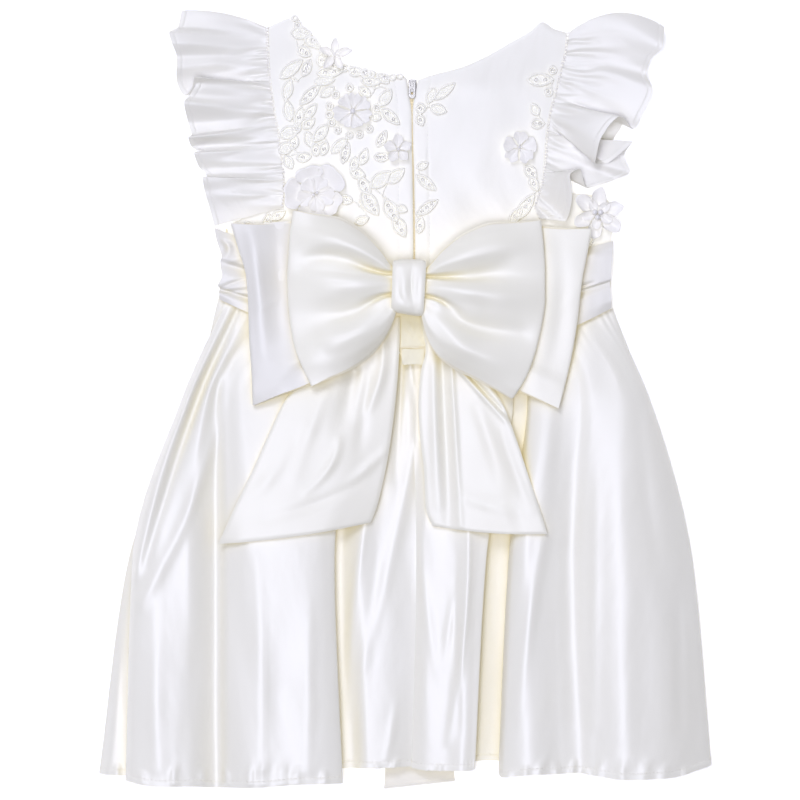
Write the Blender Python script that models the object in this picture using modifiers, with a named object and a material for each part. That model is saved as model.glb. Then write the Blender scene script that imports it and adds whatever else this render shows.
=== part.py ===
"""A baby's sleeveless satin christening gown, lying on its front with its back up.

Units: the tables and sizes are in millimetres, and MM turns them into Blender's metres.
The hem is toward -Y, the neck toward +Y, and the surface that the gown lies on is z = 0.
A sheet of cloth is a grid of points on its outer face, and Solidify gives it its wall.
"""
import math

import bmesh
import bpy
import numpy as np

MM = 0.001

# Driving dimensions, in millimetres
GOWN_NAME = "christening_gown"
TOOLS_NAME = "joined_tools"
SHIFT_X = 0.25            # moves the tables' middle onto the origin
SHIFT_Y = -0.85
SEAM_GAP = 0.3            # between two pieces at a seam, or one lying on another
SKIRT_WALL = 1.2
BODICE_WALL = 1.2
FRILL_WALL = 1.0
SASH_WALL = 1.2
LOOP_WALL = 1.2
TAIL_WALL = 1.8
LACE_WALL = 0.8
PETAL_WALL = 0.8
SASH_REACH = 50.0         # the waistband's height
SEAM_X = 5.1              # the centre back seam
CROWN_SIDE = 4.3          # top of the bodice's back at its side seams
CROWN_RISE = 1.6          # and how much higher it lies at the centre back
SHOULDER_HEIGHT = 2.9
TAPE_WIDTH = 23.0
TAPE_TOP = 4.3
TAPE_WALL = 0.8
SLIDER_WALL = 1.4
SLIDER_BASE = TAPE_TOP + SEAM_GAP
BRIDGE_BAR = 0.7          # the slider's bridge, in Y and Z
PULL_AXIS = (4.2, 207.0, 6.65)
PULL_BAR = 0.35           # half the pull tab's thickness, and half its crossbar
PULL_WINDOW = 2.75        # from the axis to the far end of the tab's window
PULL_LENGTH = 10.6        # from the axis to the tab's tip
PULL_WIDTH = 4.4
SLIDER_X = 4.6
SLIDER_WIDTH = 5.2
SLIDER_LENGTH = 8.2
SLIDER_END = 208.8        # y of its upper end
SLIDER_TAPER = 0.6        # its lower end's width over its upper end's
TAPE_END = 204.5

# The back skirt. Each row is one line of cloth that runs from the waist to the hem, through
# four heights: at the waist, 30 mm below it, two fifths down, and at the hem.
# waist x, z | upper x, z | lower x, z | hem x, z, y
UPPER_Y = 1.0
LOWER_Y = -103.0
SKIRT_LEVELS = (0.0, 0.25, 0.6, 1.0)
SKIRT_BACK_LEFT = (
    (-121.0, 4.2, -138.0, 2.7, -180.0, 2.7, -199.0, 2.7, -241.5),
    (-120.0, 4.5, -136.0, 5.0, -175.0, 6.0, -191.0, 9.0, -242.0),
    (-119.0, 4.8, -133.0, 6.5, -164.0, 8.0, -177.0, 9.5, -242.5),
    (-118.0, 5.1, -131.0, 8.0, -157.0, 9.5, -169.0, 11.5, -243.0),
    (-117.0, 5.4, -135.0, 9.5, -161.0, 12.5, -172.0, 14.0, -244.0),
    (-116.0, 5.8, -145.3, 10.6, -176.8, 14.0, -181.0, 16.5, -244.6),
    (-112.0, 6.2, -141.0, 15.0, -172.5, 19.0, -176.0, 21.5, -246.0),
    (-107.0, 6.4, -135.5, 12.5, -160.0, 21.0, -158.0, 25.0, -248.4),
    (-101.0, 6.5, -129.0, 15.5, -141.0, 20.0, -140.0, 22.0, -248.4),
    (-94.5, 6.5, -121.6, 11.0, -123.2, 12.0, -122.5, 13.0, -249.7),
    (-88.0, 6.5, -115.0, 14.0, -114.0, 18.0, -113.0, 20.0, -249.3),
    (-80.0, 6.5, -104.0, 17.0, -96.0, 23.0, -96.0, 26.0, -249.0),
    (-69.0, 6.5, -80.0, 17.0, -72.0, 22.0, -68.0, 25.0, -247.0),
    (-58.0, 6.5, -48.0, 15.5, -53.0, 19.0, -48.0, 21.0, -246.8),
    (-50.0, 6.5, -34.8, 13.0, -45.8, 15.0, -40.5, 16.5, -246.5),
    (-45.0, 6.5, -38.0, 9.8, -50.0, 11.2, -45.0, 11.8, -245.0),
    (-40.5, 6.5, -43.0, 8.6, -58.0, 9.2, -56.0, 9.8, -243.0),
    (-36.0, 6.5, -42.0, 6.2, -58.0, 6.3, -55.0, 6.3, -240.0),
    (-31.0, 6.5, -34.0, 5.8, -42.0, 6.0, -36.0, 6.0, -237.6),
    (-22.0, 6.5, -22.0, 8.5, -27.0, 11.0, -24.0, 12.0, -237.6),
    (-9.0, 6.5, -10.0, 8.0, -12.0, 9.5, -10.0, 10.5, -237.2),
    (4.95, 6.5, 4.7, 6.5, 6.8, 7.0, 3.8, 7.0, -236.7),
)
SKIRT_BACK_RIGHT = (
    (5.25, 6.5, 5.0, 6.5, 7.1, 7.0, 4.1, 7.0, -237.6),
    (11.0, 6.5, 14.0, 9.0, 15.0, 10.5, 12.5, 11.0, -238.9),
    (19.0, 6.5, 30.0, 10.5, 30.0, 12.0, 26.0, 13.0, -239.0),
    (27.0, 6.5, 50.0, 12.0, 40.0, 14.5, 36.0, 15.5, -239.0),
    (34.0, 6.5, 62.0, 11.5, 47.0, 13.5, 42.0, 14.0, -238.9),
    (39.0, 6.5, 70.0, 9.5, 52.3, 10.3, 45.0, 10.5, -237.5),
    (43.0, 6.5, 67.0, 7.3, 49.0, 7.2, 42.0, 6.9, -236.0),
    (47.0, 6.5, 65.0, 6.0, 46.0, 5.9, 38.0, 5.7, -235.0),
    (50.5, 6.5, 66.0, 3.9, 48.0, 3.5, 41.0, 3.3, -234.0),
    (54.0, 6.5, 72.0, 3.3, 59.0, 3.0, 53.0, 3.0, -233.0),
    (59.0, 6.5, 82.0, 3.5, 74.0, 3.3, 68.0, 3.2, -234.0),
    (63.5, 6.5, 85.0, 5.2, 79.0, 5.4, 73.0, 5.4, -236.0),
    (67.5, 6.5, 83.0, 7.4, 75.0, 8.0, 68.0, 8.0, -238.0),
    (71.5, 6.5, 79.0, 9.5, 66.6, 11.5, 60.0, 12.0, -240.0),
    (76.0, 6.5, 81.0, 13.0, 69.0, 17.0, 62.5, 18.0, -243.0),
    (83.0, 6.5, 90.0, 16.0, 79.0, 22.0, 79.0, 24.0, -241.0),
    (91.0, 6.5, 103.0, 15.0, 97.0, 18.0, 100.0, 19.0, -240.5),
    (98.0, 6.5, 112.0, 14.5, 107.0, 15.5, 112.0, 16.5, -240.0),
    (105.0, 6.4, 121.5, 17.0, 117.0, 19.0, 122.0, 20.0, -241.5),
    (113.0, 6.2, 138.0, 18.0, 139.0, 24.5, 144.0, 26.5, -244.0),
    (120.0, 5.9, 149.0, 15.0, 163.0, 20.0, 171.0, 21.5, -243.0),
    (126.0, 5.4, 156.0, 11.0, 179.0, 12.5, 188.0, 13.5, -239.0),
    (131.0, 4.8, 158.8, 7.0, 186.3, 6.5, 198.5, 6.5, -235.3),
    (134.5, 4.2, 157.0, 2.7, 184.0, 2.7, 196.0, 2.7, -233.0),
)

# The front skirt lies flat on the surface, out of sight inside the back's outline.
# left x, right x, y at the sides, y in the middle
SKIRT_FRONT = (
    (-119.0, 133.0, 63.0, 33.0),
    (-136.5, 155.5, 1.0, 0.0),
    (-153.0, 170.0, -50.0, -51.0),
    (-168.5, 182.5, -103.0, -103.0),
    (-184.0, 190.5, -170.0, -168.0),
    (-197.0, 194.5, -236.0, -230.5),
)
# The lining shows only at the hem's middle: left x, right x, y on the left, y on the right
LINING_ROWS = (
    (-1.0, 12.0, 29.0, 29.0),
    (-3.0, 18.0, -40.0, -40.0),
    (-9.0, 26.0, -160.0, -158.0),
    (-14.0, 32.0, -251.7, -246.6),
)
LINING_TOP = 2.6
LINING_WALL = 0.8

# The bodice. Outline points (x, y) of each side, from bottom to top or left to right.
LEFT_SIDE = (
    (-117.5, 67.6), (-113.5, 92.0), (-115.5, 113.0), (-107.6, 118.0), (-93.3, 125.7),
    (-84.0, 135.0), (-80.5, 146.0), (-79.8, 158.6), (-82.0, 174.7), (-84.2, 185.6),
    (-86.3, 200.5), (-88.4, 215.7), (-89.0, 229.8), (-89.5, 243.2),
)
LEFT_NECK = (
    (-89.5, 243.2), (-71.2, 250.2), (-66.0, 243.2), (-59.5, 237.3), (-54.0, 229.8),
    (-36.7, 217.9), (-27.0, 216.2), (-10.7, 211.9), (-2.9, 212.2), (0.9, 209.4),
)
LEFT_ZIP_EDGE = (
    (4.4, 31.6), (4.5, 108.0), (4.5, 160.0), (4.0, 182.0), (2.5, 196.0), (1.4, 205.0), (0.9, 209.4),
)
RIGHT_ZIP_EDGE = (
    (5.8, 31.6), (5.8, 108.0), (5.8, 170.0), (6.0, 182.0), (6.8, 193.0), (7.6, 203.0), (8.1, 208.7),
)
RIGHT_NECK = (
    (8.1, 208.7), (16.2, 211.6), (35.9, 216.8), (52.1, 223.9), (67.2, 232.5), (81.2, 240.6),
    (88.7, 246.5), (96.9, 241.8), (105.0, 239.5),
)
RIGHT_SIDE = (
    (133.6, 61.4), (133.0, 98.5), (134.6, 116.0), (132.0, 130.0), (122.0, 134.0), (108.0, 135.5),
    (98.0, 138.5), (92.5, 143.0), (89.6, 149.5), (89.9, 156.5), (91.0, 170.4), (92.8, 184.3),
    (95.7, 196.0), (98.5, 206.4), (100.9, 216.8), (103.8, 228.5), (105.0, 239.5),
)
FRONT_NECK = (
    (-88.5, 242.4), (-71.0, 248.6), (-60.0, 226.0), (-36.0, 203.0), (4.0, 193.0), (44.0, 202.0),
    (72.0, 226.0), (88.0, 245.0), (104.0, 238.6),
)
FRONT_INSET = 1.4

# The line on which the right frill is sewn, which runs on down over the bodice's side
RIGHT_FRILL_SEAM = (
    (82.9, 124.0), (84.6, 129.8), (88.6, 141.4), (90.6, 156.5), (91.2, 170.4), (92.8, 184.3),
    (95.7, 196.0), (98.5, 206.4), (100.9, 216.8), (103.8, 228.5), (105.0, 239.5),
)

# The frills. Each row is one line of cloth from the armhole's seam to the stitched hem.
# seam y, seam z | hem x, y, z | sideways bow in y
LEFT_FRILL = (
    (127.5, 4.4, -124.0, 113.6, 6.0, 0.0),
    (131.0, 4.4, -127.2, 126.2, 9.0, 0.0),
    (136.0, 4.4, -130.3, 137.3, 12.0, 0.0),
    (142.5, 4.4, -131.5, 145.5, 15.0, 0.0),
    (146.0, 4.4, -128.8, 144.9, 10.0, 0.0),
    (149.5, 4.4, -129.2, 147.7, 6.0, 0.0),
    (153.0, 4.4, -133.6, 151.5, 7.0, 0.0),
    (162.0, 4.4, -137.0, 160.9, 12.0, 0.0),
    (166.0, 4.4, -132.7, 162.5, 8.5, 0.0),
    (170.0, 4.4, -138.6, 165.0, 6.0, 0.0),
    (178.0, 4.4, -140.6, 170.8, 14.0, 0.0),
    (181.0, 4.4, -138.6, 173.2, 9.0, 0.0),
    (184.5, 4.4, -140.7, 179.8, 8.0, 0.0),
    (189.0, 4.4, -143.2, 193.0, 15.5, 0.0),
    (193.5, 4.4, -140.1, 197.5, 13.0, 0.0),
    (201.0, 4.4, -135.6, 206.0, 14.0, 0.0),
    (206.0, 4.4, -136.2, 210.0, 18.0, 0.0),
    (209.0, 4.4, -138.4, 203.0, 11.0, 0.0),
    (212.0, 4.4, -143.5, 198.8, 6.0, 0.0),
    (217.0, 4.3, -148.5, 209.0, 9.0, 0.0),
    (222.5, 4.1, -148.2, 217.4, 12.5, 0.0),
    (226.5, 4.0, -148.2, 223.4, 11.5, 0.0),
    (231.0, 3.9, -151.3, 232.4, 16.0, 0.0),
    (234.5, 3.8, -153.0, 238.5, 15.0, 0.5),
    (238.0, 3.6, -147.7, 242.8, 9.0, 1.5),
    (243.2, 3.2, -144.8, 253.4, 7.5, 3.6),
    (241.0, 1.2, -142.5, 247.5, 2.6, 2.5),
    (232.0, 0.1, -144.5, 233.0, 0.4, 0.5),
    (219.0, 0.1, -140.0, 216.0, 1.8, 0.0),
    (204.0, 0.1, -131.0, 201.0, 0.2, 0.0),
    (190.0, 0.1, -134.0, 184.0, 1.8, 0.0),
    (176.0, 0.1, -130.0, 166.0, 0.2, 0.0),
    (161.0, 0.1, -124.0, 150.0, 1.6, 0.0),
    (145.0, 0.1, -122.0, 134.0, 0.2, 0.0),
    (130.0, 0.1, -116.0, 120.0, 0.8, 0.0),
)
RIGHT_FRILL = (
    (147.0, 0.1, 119.0, 143.5, 0.6, 0.0),
    (156.0, 0.1, 128.0, 153.0, 1.8, 0.0),
    (168.0, 0.1, 133.0, 167.0, 0.2, 0.0),
    (181.0, 0.1, 140.0, 178.0, 1.8, 0.0),
    (196.0, 0.1, 146.0, 192.0, 0.2, 0.0),
    (210.0, 0.1, 150.0, 208.0, 1.8, 0.0),
    (224.0, 0.1, 156.0, 224.0, 0.4, 1.0),
    (236.5, 1.2, 165.0, 239.0, 3.0, 9.0),
    (239.5, 3.2, 167.6, 243.0, 8.5, 11.0),
    (234.0, 3.8, 166.5, 229.6, 15.0, 7.0),
    (228.5, 3.9, 158.9, 221.5, 11.0, 4.0),
    (222.5, 4.0, 156.3, 212.2, 8.0, 2.0),
    (216.0, 4.2, 159.8, 201.8, 13.0, 1.0),
    (208.0, 4.4, 153.0, 185.6, 12.0, 0.0),
    (200.5, 4.4, 147.6, 176.8, 9.0, 0.0),
    (194.0, 4.4, 138.7, 184.3, 19.0, 0.0),
    (187.5, 4.4, 125.3, 168.0, 20.0, 0.0),
    (181.5, 4.4, 122.4, 153.7, 14.5, 0.0),
    (177.5, 4.4, 129.9, 154.2, 8.5, 0.0),
    (172.5, 4.4, 147.2, 168.1, 14.0, 0.0),
    (167.5, 4.4, 141.5, 158.9, 8.5, 0.0),
    (162.5, 4.4, 145.6, 149.2, 9.0, 0.0),
    (157.5, 4.4, 135.7, 143.7, 6.5, 0.0),
    (152.5, 6.8, 118.3, 138.5, 7.6, 0.0),
    (147.5, 7.0, 112.5, 150.6, 15.0, 0.0),
    (143.0, 7.2, 106.1, 146.0, 18.0, 0.0),
    (137.5, 7.2, 107.8, 133.5, 15.0, 0.0),
    (131.5, 7.2, 103.3, 116.9, 10.0, 0.0),
    (124.5, 7.2, 86.6, 118.7, 8.0, 0.0),
)
FRILL_RIPPLE = 1.0        # the gathers at the seam
FRILL_GAP = 0.9           # from the armhole line, clear of the panel's facets

# The sash. Rows run across the band, from its top edge to its bottom edge.
# y at the side, x at the side, y at the middle, height
SASH_LEFT = (
    (112.8, -124.0, 84.5, 8.6),
    (104.0, -122.3, 77.5, 10.6),
    (94.0, -119.0, 70.5, 10.8),
    (90.5, -120.2, 67.0, 9.2),
    (82.0, -119.0, 60.0, 11.0),
    (75.5, -121.6, 53.5, 10.4),
    (73.0, -120.5, 50.5, 8.9),
    (70.0, -120.9, 44.0, 10.2),
    (66.0, -120.4, 38.0, 8.9),
)
SASH_RIGHT = (
    (104.2, 134.8, 84.5, 8.6),
    (98.0, 134.6, 76.0, 10.6),
    (88.0, 133.8, 66.0, 10.9),
    (79.5, 133.4, 58.0, 10.5),
    (77.2, 132.6, 54.0, 8.9),
    (72.0, 133.1, 47.0, 10.5),
    (66.0, 133.6, 40.0, 10.3),
    (60.6, 133.9, 24.0, 8.6),
)
SASH_LEFT_END = 3.4
SASH_RIGHT_END = -5.0
SASH_UNDERLAP = 8.1       # top of the right half where it runs under the left one
SASH_OVERLAP = 9.9        # top of the left half there

# The bow's loops. Rows run across the band:
# y at the knot | outer x, y | bow in y | puff in z
FRONT_LOOP_LEFT = (
    (86.5, -72.6, 123.2, 11.0, 1.0),
    (83.5, -74.7, 108.2, 7.0, 6.5),
    (80.0, -75.7, 93.3, 3.0, 2.0),
    (76.0, -76.4, 79.0, 0.0, 7.0),
    (70.5, -75.0, 54.3, -3.0, 1.5),
    (66.0, -71.2, 33.5, -7.0, 6.0),
    (64.5, -60.9, 10.1, -11.0, 0.0),
)
FRONT_LOOP_RIGHT = (
    (86.5, 87.4, 116.9, 11.0, 1.0),
    (83.5, 89.2, 101.0, 6.0, 6.5),
    (79.5, 90.2, 82.0, 0.0, 2.0),
    (74.0, 90.2, 66.3, -1.0, 7.0),
    (68.0, 85.8, 39.3, -3.0, 1.5),
    (64.0, 78.3, 16.7, -5.0, 6.0),
    (60.0, 69.7, 2.1, -8.0, 0.5),
)
BACK_LOOP_LEFT = (
    (86.0, -112.9, 115.0, 14.0, 0.0),
    (83.0, -108.0, 98.0, 8.0, 2.5),
    (78.0, -103.2, 81.2, 3.0, 1.0),
    (73.0, -101.7, 60.0, 0.0, 2.5),
    (68.0, -101.2, 41.4, -4.0, 1.0),
    (64.5, -99.5, 18.0, -8.0, 2.5),
    (61.5, -98.7, -2.3, -13.0, 0.0),
)
BACK_LOOP_RIGHT = (
    (86.0, 120.6, 111.8, 13.0, 0.0),
    (83.0, 117.5, 95.0, 7.0, 2.5),
    (78.0, 114.4, 79.2, 3.0, 1.0),
    (72.0, 111.7, 55.6, 0.0, 2.5),
    (67.0, 107.4, 28.6, -4.0, 1.0),
    (63.5, 103.0, 10.0, -8.0, 2.5),
    (60.5, 99.3, -4.2, -11.0, 0.0),
)
LOOP_ROOTS = (-3.0, 8.0)  # x where the loops end inside the knot
# Height of a pair of loops' under face, and from there to the upper face at the knot and
# at the outer fold
BACK_LOOP_HEIGHTS = (17.6, 3.0, 4.8)
FRONT_LOOP_HEIGHTS = (21.2, 5.2, 6.2)
OUTER_DROP = 3.0          # how far a loop sinks from the knot to its outer fold

# The knot: centre, and half the band's ring across Y and Z
KNOT_CENTRE = (1.9, 74.0, 23.3)
KNOT_HALF_Y = 17.6
KNOT_HALF_Z = 8.6
KNOT_WALL = 1.6
KNOT_LEFT = (-7.6, -9.2)                   # x of the band's edges at its top and bottom
KNOT_RIGHT = (13.2, 10.2)

# The tails. Rows run from the knot to the cut end: left x, y | right x, y
TAIL_LEFT = (
    (-12.0, 54.0, -3.3, 54.6),
    (-40.0, 33.0, -4.0, 34.0),
    (-60.0, 18.0, -5.0, 16.0),
    (-75.0, 5.1, -6.8, -3.0),
    (-88.8, -22.2, -10.0, -28.0),
    (-98.5, -44.0, -14.5, -52.0),
    (-109.3, -66.0, -18.5, -68.0),
    (-121.0, -92.0, -22.4, -78.3),
)
TAIL_RIGHT = (
    (2.6, 54.6, 12.0, 54.0),
    (7.0, 34.0, 24.0, 32.0),
    (8.1, 18.5, 38.0, 18.0),
    (8.3, -3.0, 60.0, -2.0),
    (9.5, -24.0, 71.5, -24.0),
    (11.8, -45.0, 79.3, -47.8),
    (13.0, -69.0, 87.5, -72.0),
    (17.5, -80.5, 91.7, -85.5),
)
TAIL_SAG = 2.0            # the cut end's curve
TAIL_ROOT = 14.4          # top of the tail under the knot

# The sewn flowers: x, y, radius, petals, lift of the petal tips, turn in degrees
FLOWERS = {
    "flower_left": (-35.4, 188.8, 12.0, 6, 4.0, 10.0),
    "flower_waist": (-60.8, 133.6, 19.0, 5, 5.0, 30.0),
    "flower_neck": (-44.5, 224.5, 8.5, 5, 4.0, 0.0),
    "flower_zip": (-4.6, 163.5, 8.0, 5, 4.0, 20.0),
    "flower_right": (73.8, 164.8, 11.0, 5, 4.0, 15.0),
    "flower_side": (121.0, 117.0, 10.5, 5, 3.5, 40.0),
}
FLOWER_HUB = 0.32         # the sewn middle's share of the radius

# The lace leaves: x, y of the hub, then (direction in degrees, length) of each leaf
LACE = {
    "lace_shoulder_left": (-70.0, 232.0, ((95, 12), (160, 11), (215, 12), (270, 13), (330, 10))),
    "lace_armhole_left": (-74.0, 205.0, ((60, 13), (120, 12), (250, 14), (305, 12))),
    "lace_side_left": (-72.0, 178.0, ((80, 13), (130, 9), (240, 12), (300, 12), (10, 9))),
    "lace_low_left": (-92.0, 107.0, ((20, 13), (75, 12), (140, 13), (200, 11), (260, 14))),
    "lace_neck_left": (-20.0, 203.0, ((10, 11), (150, 12), (200, 10))),
    "lace_mid_left": (-14.5, 184.0, ((60, 13), (150, 9), (315, 14))),
    "lace_centre_left": (-33.0, 155.0, ((25, 15), (75, 12), (135, 13), (230, 13), (335, 15))),
    "lace_zip_left": (-12.0, 130.0, ((20, 12), (70, 13), (120, 14), (250, 13), (300, 12))),
    "lace_inner_left": (-55.0, 199.5, ((100, 11), (170, 11), (240, 10), (300, 9))),
    "lace_under_left": (-47.5, 175.5, ((150, 10), (200, 11), (250, 11))),
    "lace_waist_left": (-69.5, 158.5, ((25, 12), (95, 7), (175, 8), (215, 8))),
    "lace_bow_left": (-33.0, 132.5, ((100, 9), (170, 8), (230, 12), (300, 11))),
    "lace_zip_right": (15.0, 197.0, ((35, 12), (80, 11), (300, 10))),
    "lace_upper_right": (17.0, 165.0, ((20, 12), (60, 11), (330, 12), (280, 10))),
    "lace_lower_right": (17.0, 134.0, ((30, 14), (75, 12), (330, 12), (285, 11))),
    "lace_shoulder_right": (80.0, 205.0, ((80, 14), (130, 12), (220, 12), (280, 13))),
    "lace_armhole_right": (84.0, 184.0, ((90, 8), (150, 9), (205, 10))),
    "lace_side_right": (76.0, 138.0, ((50, 10), (120, 12), (180, 13), (240, 13), (300, 13))),
    "lace_hip_right": (112.0, 98.0, ((60, 9), (150, 12), (200, 13), (260, 10))),
}
LEAF_SLIMNESS = 3.4       # a leaf's lobe spans 180 degrees over this number
LACE_HUB = 2.6


def place(point):
    """A point of the tables, in metres and about the gown's origin."""
    x, y, z = point
    return ((x + SHIFT_X) * MM, (y + SHIFT_Y) * MM, z * MM)


def read_rows(rows, knots, places):
    """Rows read between their knots on curves that never overshoot them."""
    rows = np.asarray(rows, float)
    flat = rows.reshape(len(rows), -1)
    knots = np.asarray(knots, float)
    places = np.asarray(places, float)
    spans = np.diff(knots)
    rises = np.diff(flat, axis=0) / spans[:, None]
    slopes = np.zeros_like(flat)
    product = rises[:-1] * rises[1:]
    total = rises[:-1] + rises[1:]
    same_way = product > 0
    slopes[1:-1][same_way] = 2 * product[same_way] / total[same_way]
    slopes[0] = rises[0]
    slopes[-1] = rises[-1]
    index = np.clip(np.searchsorted(knots, places, side="right") - 1, 0, len(spans) - 1)
    span = spans[index][:, None]
    t = (places - knots[index])[:, None] / span
    low, high = flat[index], flat[index + 1]
    value = (
        low * (1 + 2 * t) * (1 - t) ** 2
        + high * t * t * (3 - 2 * t)
        + slopes[index] * span * t * (1 - t) ** 2
        - slopes[index + 1] * span * t * t * (1 - t)
    )
    return value.reshape((len(places),) + rows.shape[1:])


def along(points, count):
    """Points at even distances along a smooth line through the given points."""
    points = np.asarray(points, float)
    knots = np.concatenate([[0], np.cumsum(np.linalg.norm(np.diff(points, axis=0), axis=1))])
    return read_rows(points, knots, np.linspace(0, knots[-1], count))


def between_rows(rows, per_row):
    """Places for sampling rows: the rows themselves and per_row - 1 places between two."""
    return np.linspace(0, len(rows) - 1, (len(rows) - 1) * per_row + 1)


def dense(grid, times):
    """A grid with more rows between its own."""
    return read_rows(grid, range(len(grid)), between_rows(grid, times))


def smooth(t):
    t = np.clip(t, 0, 1)
    return t * t * (3 - 2 * t)


def patch(bottom, top, left, right, across, up):
    """A grid that fills four edge lines, row 0 along the top."""
    bottom, top = along(bottom, across), along(top, across)
    left, right = along(left, up), along(right, up)
    s = np.linspace(0, 1, across)[None, :, None]
    t = np.linspace(0, 1, up)[:, None, None]
    corners = (
        (1 - s) * (1 - t) * bottom[0]
        + s * (1 - t) * bottom[-1]
        + (1 - s) * t * top[0]
        + s * t * top[-1]
    )
    grid = (1 - t) * bottom[None] + t * top[None] + (1 - s) * left[:, None] + s * right[:, None]
    return (grid - corners)[::-1]


def with_height(flat, height):
    """Adds z to a grid of (x, y) points."""
    return np.concatenate([flat, height[..., None]], axis=2)


def material(name, colour, roughness, metallic=0.0):
    found = bpy.data.materials.get(name) or bpy.data.materials.new(name)
    found.use_nodes = True
    shader = found.node_tree.nodes["Principled BSDF"]
    shader.inputs["Base Color"].default_value = (*colour, 1.0)
    shader.inputs["Roughness"].default_value = roughness
    shader.inputs["Metallic"].default_value = metallic
    return found


SATIN = ("satin", (0.90, 0.88, 0.82), 0.38)
LACE_THREAD = ("lace_thread", (0.92, 0.91, 0.88), 0.60)
ORGANZA = ("organza", (0.88, 0.88, 0.92), 0.45)
METAL = ("zip_metal", (0.72, 0.73, 0.74), 0.28, 1.0)
TAPE = ("zip_tape", (0.86, 0.84, 0.76), 0.80)


def finish_object(obj, look):
    obj.data.materials.append(material(*look))
    bpy.data.collections[GOWN_NAME].objects.link(obj)
    return obj


def grid_object(name, grid, look, faces_up=True):
    """A mesh of quads on a grid, its first quad facing up or down."""
    rows, columns = grid.shape[:2]
    points = [place(point) for point in grid.reshape(-1, 3)]
    first, second, third = (np.array(points[i]) for i in (0, 1, columns))
    turned = np.cross(second - first, third - first)[2] > 0
    quads = []
    for row in range(rows - 1):
        for column in range(columns - 1):
            corner = row * columns + column
            quad = (corner, corner + 1, corner + columns + 1, corner + columns)
            quads.append(quad if turned == faces_up else quad[::-1])
    mesh = bpy.data.meshes.new(name)
    mesh.from_pydata(points, [], quads)
    mesh.shade_smooth()
    return finish_object(bpy.data.objects.new(name, mesh), look)


def add_wall(obj, wall):
    """Gives a sheet its thickness, on its inner side."""
    solidify = obj.modifiers.new("wall", "SOLIDIFY")
    solidify.thickness = wall * MM
    solidify.offset = -1.0
    return obj


def cloth(name, grid, wall, look=SATIN, faces_up=True):
    return add_wall(grid_object(name, grid, look, faces_up), wall)


def waist_line(x):
    """y of the seam between bodice and skirt, which dips to the centre back."""
    x = np.asarray(x, float)
    return np.where(x < SEAM_X, 31 + 39 * (x / 122) ** 2, 31 + 31 * (x / 137) ** 2)


# Skirt

def skirt_rows(table):
    """The four level points of each line of the back skirt."""
    rows = []
    for waist_x, waist_z, upper_x, upper_z, lower_x, lower_z, hem_x, hem_z, hem_y in table:
        rows.append([
            (waist_x, waist_line(waist_x) - 0.2, waist_z),
            (upper_x, UPPER_Y, upper_z),
            (lower_x, LOWER_Y, lower_z),
            (hem_x, hem_y, hem_z),
        ])
    return np.array(rows)


def skirt_grid(table, per_row, levels):
    """The back skirt's outer face, row 0 at the waist."""
    rows = skirt_rows(table)
    lines = read_rows(rows, range(len(rows)), between_rows(rows, per_row))
    return read_rows(lines.transpose(1, 0, 2), SKIRT_LEVELS, levels)


def highest(grids, x, y, reach):
    """The highest of the grids' points that lie within reach of (x, y)."""
    best = 0.0
    for grid in grids:
        points = grid.reshape(-1, 3)
        near = np.hypot(points[:, 0] - x, points[:, 1] - y) < reach
        if near.any():
            best = max(best, points[near, 2].max())
    return best


def band_lift(x, y):
    """How far a front panel is raised where it lies over the front of the sash."""
    middle = waist_line(x) + SASH_REACH / 2
    return (SASH_WALL + SEAM_GAP) * smooth((SASH_REACH - np.abs(y - middle)) / 10.0)


def make_skirt():
    levels = (0.0, 0.09, 0.25, 0.36, 0.48, 0.6, 0.74, 0.87, 1.0)
    for name, table in (("left", SKIRT_BACK_LEFT), ("right", SKIRT_BACK_RIGHT)):
        cloth("skirt_back_" + name, skirt_grid(table, 2, levels), SKIRT_WALL)
    rows = read_rows(SKIRT_FRONT, range(len(SKIRT_FRONT)), np.linspace(0, len(SKIRT_FRONT) - 1, 9))
    s = np.linspace(0, 1, 13)
    x = rows[:, 0:1] + (rows[:, 1:2] - rows[:, 0:1]) * s
    y = rows[:, 3:4] + (rows[:, 2:3] - rows[:, 3:4]) * (2 * s - 1) ** 2
    y[0] = waist_line(x[0]) - 0.2
    cloth("skirt_front", np.stack([x, y, SKIRT_WALL + band_lift(x, y)], axis=2), SKIRT_WALL)
    rows = np.asarray(LINING_ROWS)
    s = np.linspace(0, 1, 5)
    x = rows[:, 0:1] + (rows[:, 1:2] - rows[:, 0:1]) * s
    y = rows[:, 2:3] + (rows[:, 3:4] - rows[:, 2:3]) * s
    z = np.full_like(x, LINING_TOP)
    z[0] = LINING_TOP + SASH_WALL + SEAM_GAP - 0.2
    cloth("skirt_lining", np.stack([x, y, z], axis=2), LINING_WALL)


# Bodice

def crown(x, y):
    """Top of the bodice's back: highest at the centre, low at the sides and shoulders."""
    x, y = np.asarray(x, float), np.asarray(y, float)
    body = CROWN_SIDE + CROWN_RISE * np.cos(np.pi / 2 * np.clip(np.abs(x) / 135, 0, 1))
    return body + (SHOULDER_HEIGHT - body) * smooth((y - 200) / 42)


def waist_edge(start, end, count=9):
    x = np.linspace(start, end, count)
    return np.stack([x, waist_line(x) + 0.4], axis=1)


def bodice_grid(bottom, top, left, right, across, up):
    flat = patch(bottom, top, left, right, across, up)
    return with_height(flat, crown(flat[..., 0], flat[..., 1]))


def bodice_edges():
    """The four edge lines of each back panel."""
    return {
        "left": (waist_edge(LEFT_SIDE[0][0], LEFT_ZIP_EDGE[0][0]), LEFT_NECK, LEFT_SIDE, LEFT_ZIP_EDGE),
        "right": (waist_edge(RIGHT_ZIP_EDGE[0][0], RIGHT_SIDE[0][0]), RIGHT_NECK, RIGHT_ZIP_EDGE, RIGHT_SIDE),
    }


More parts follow.
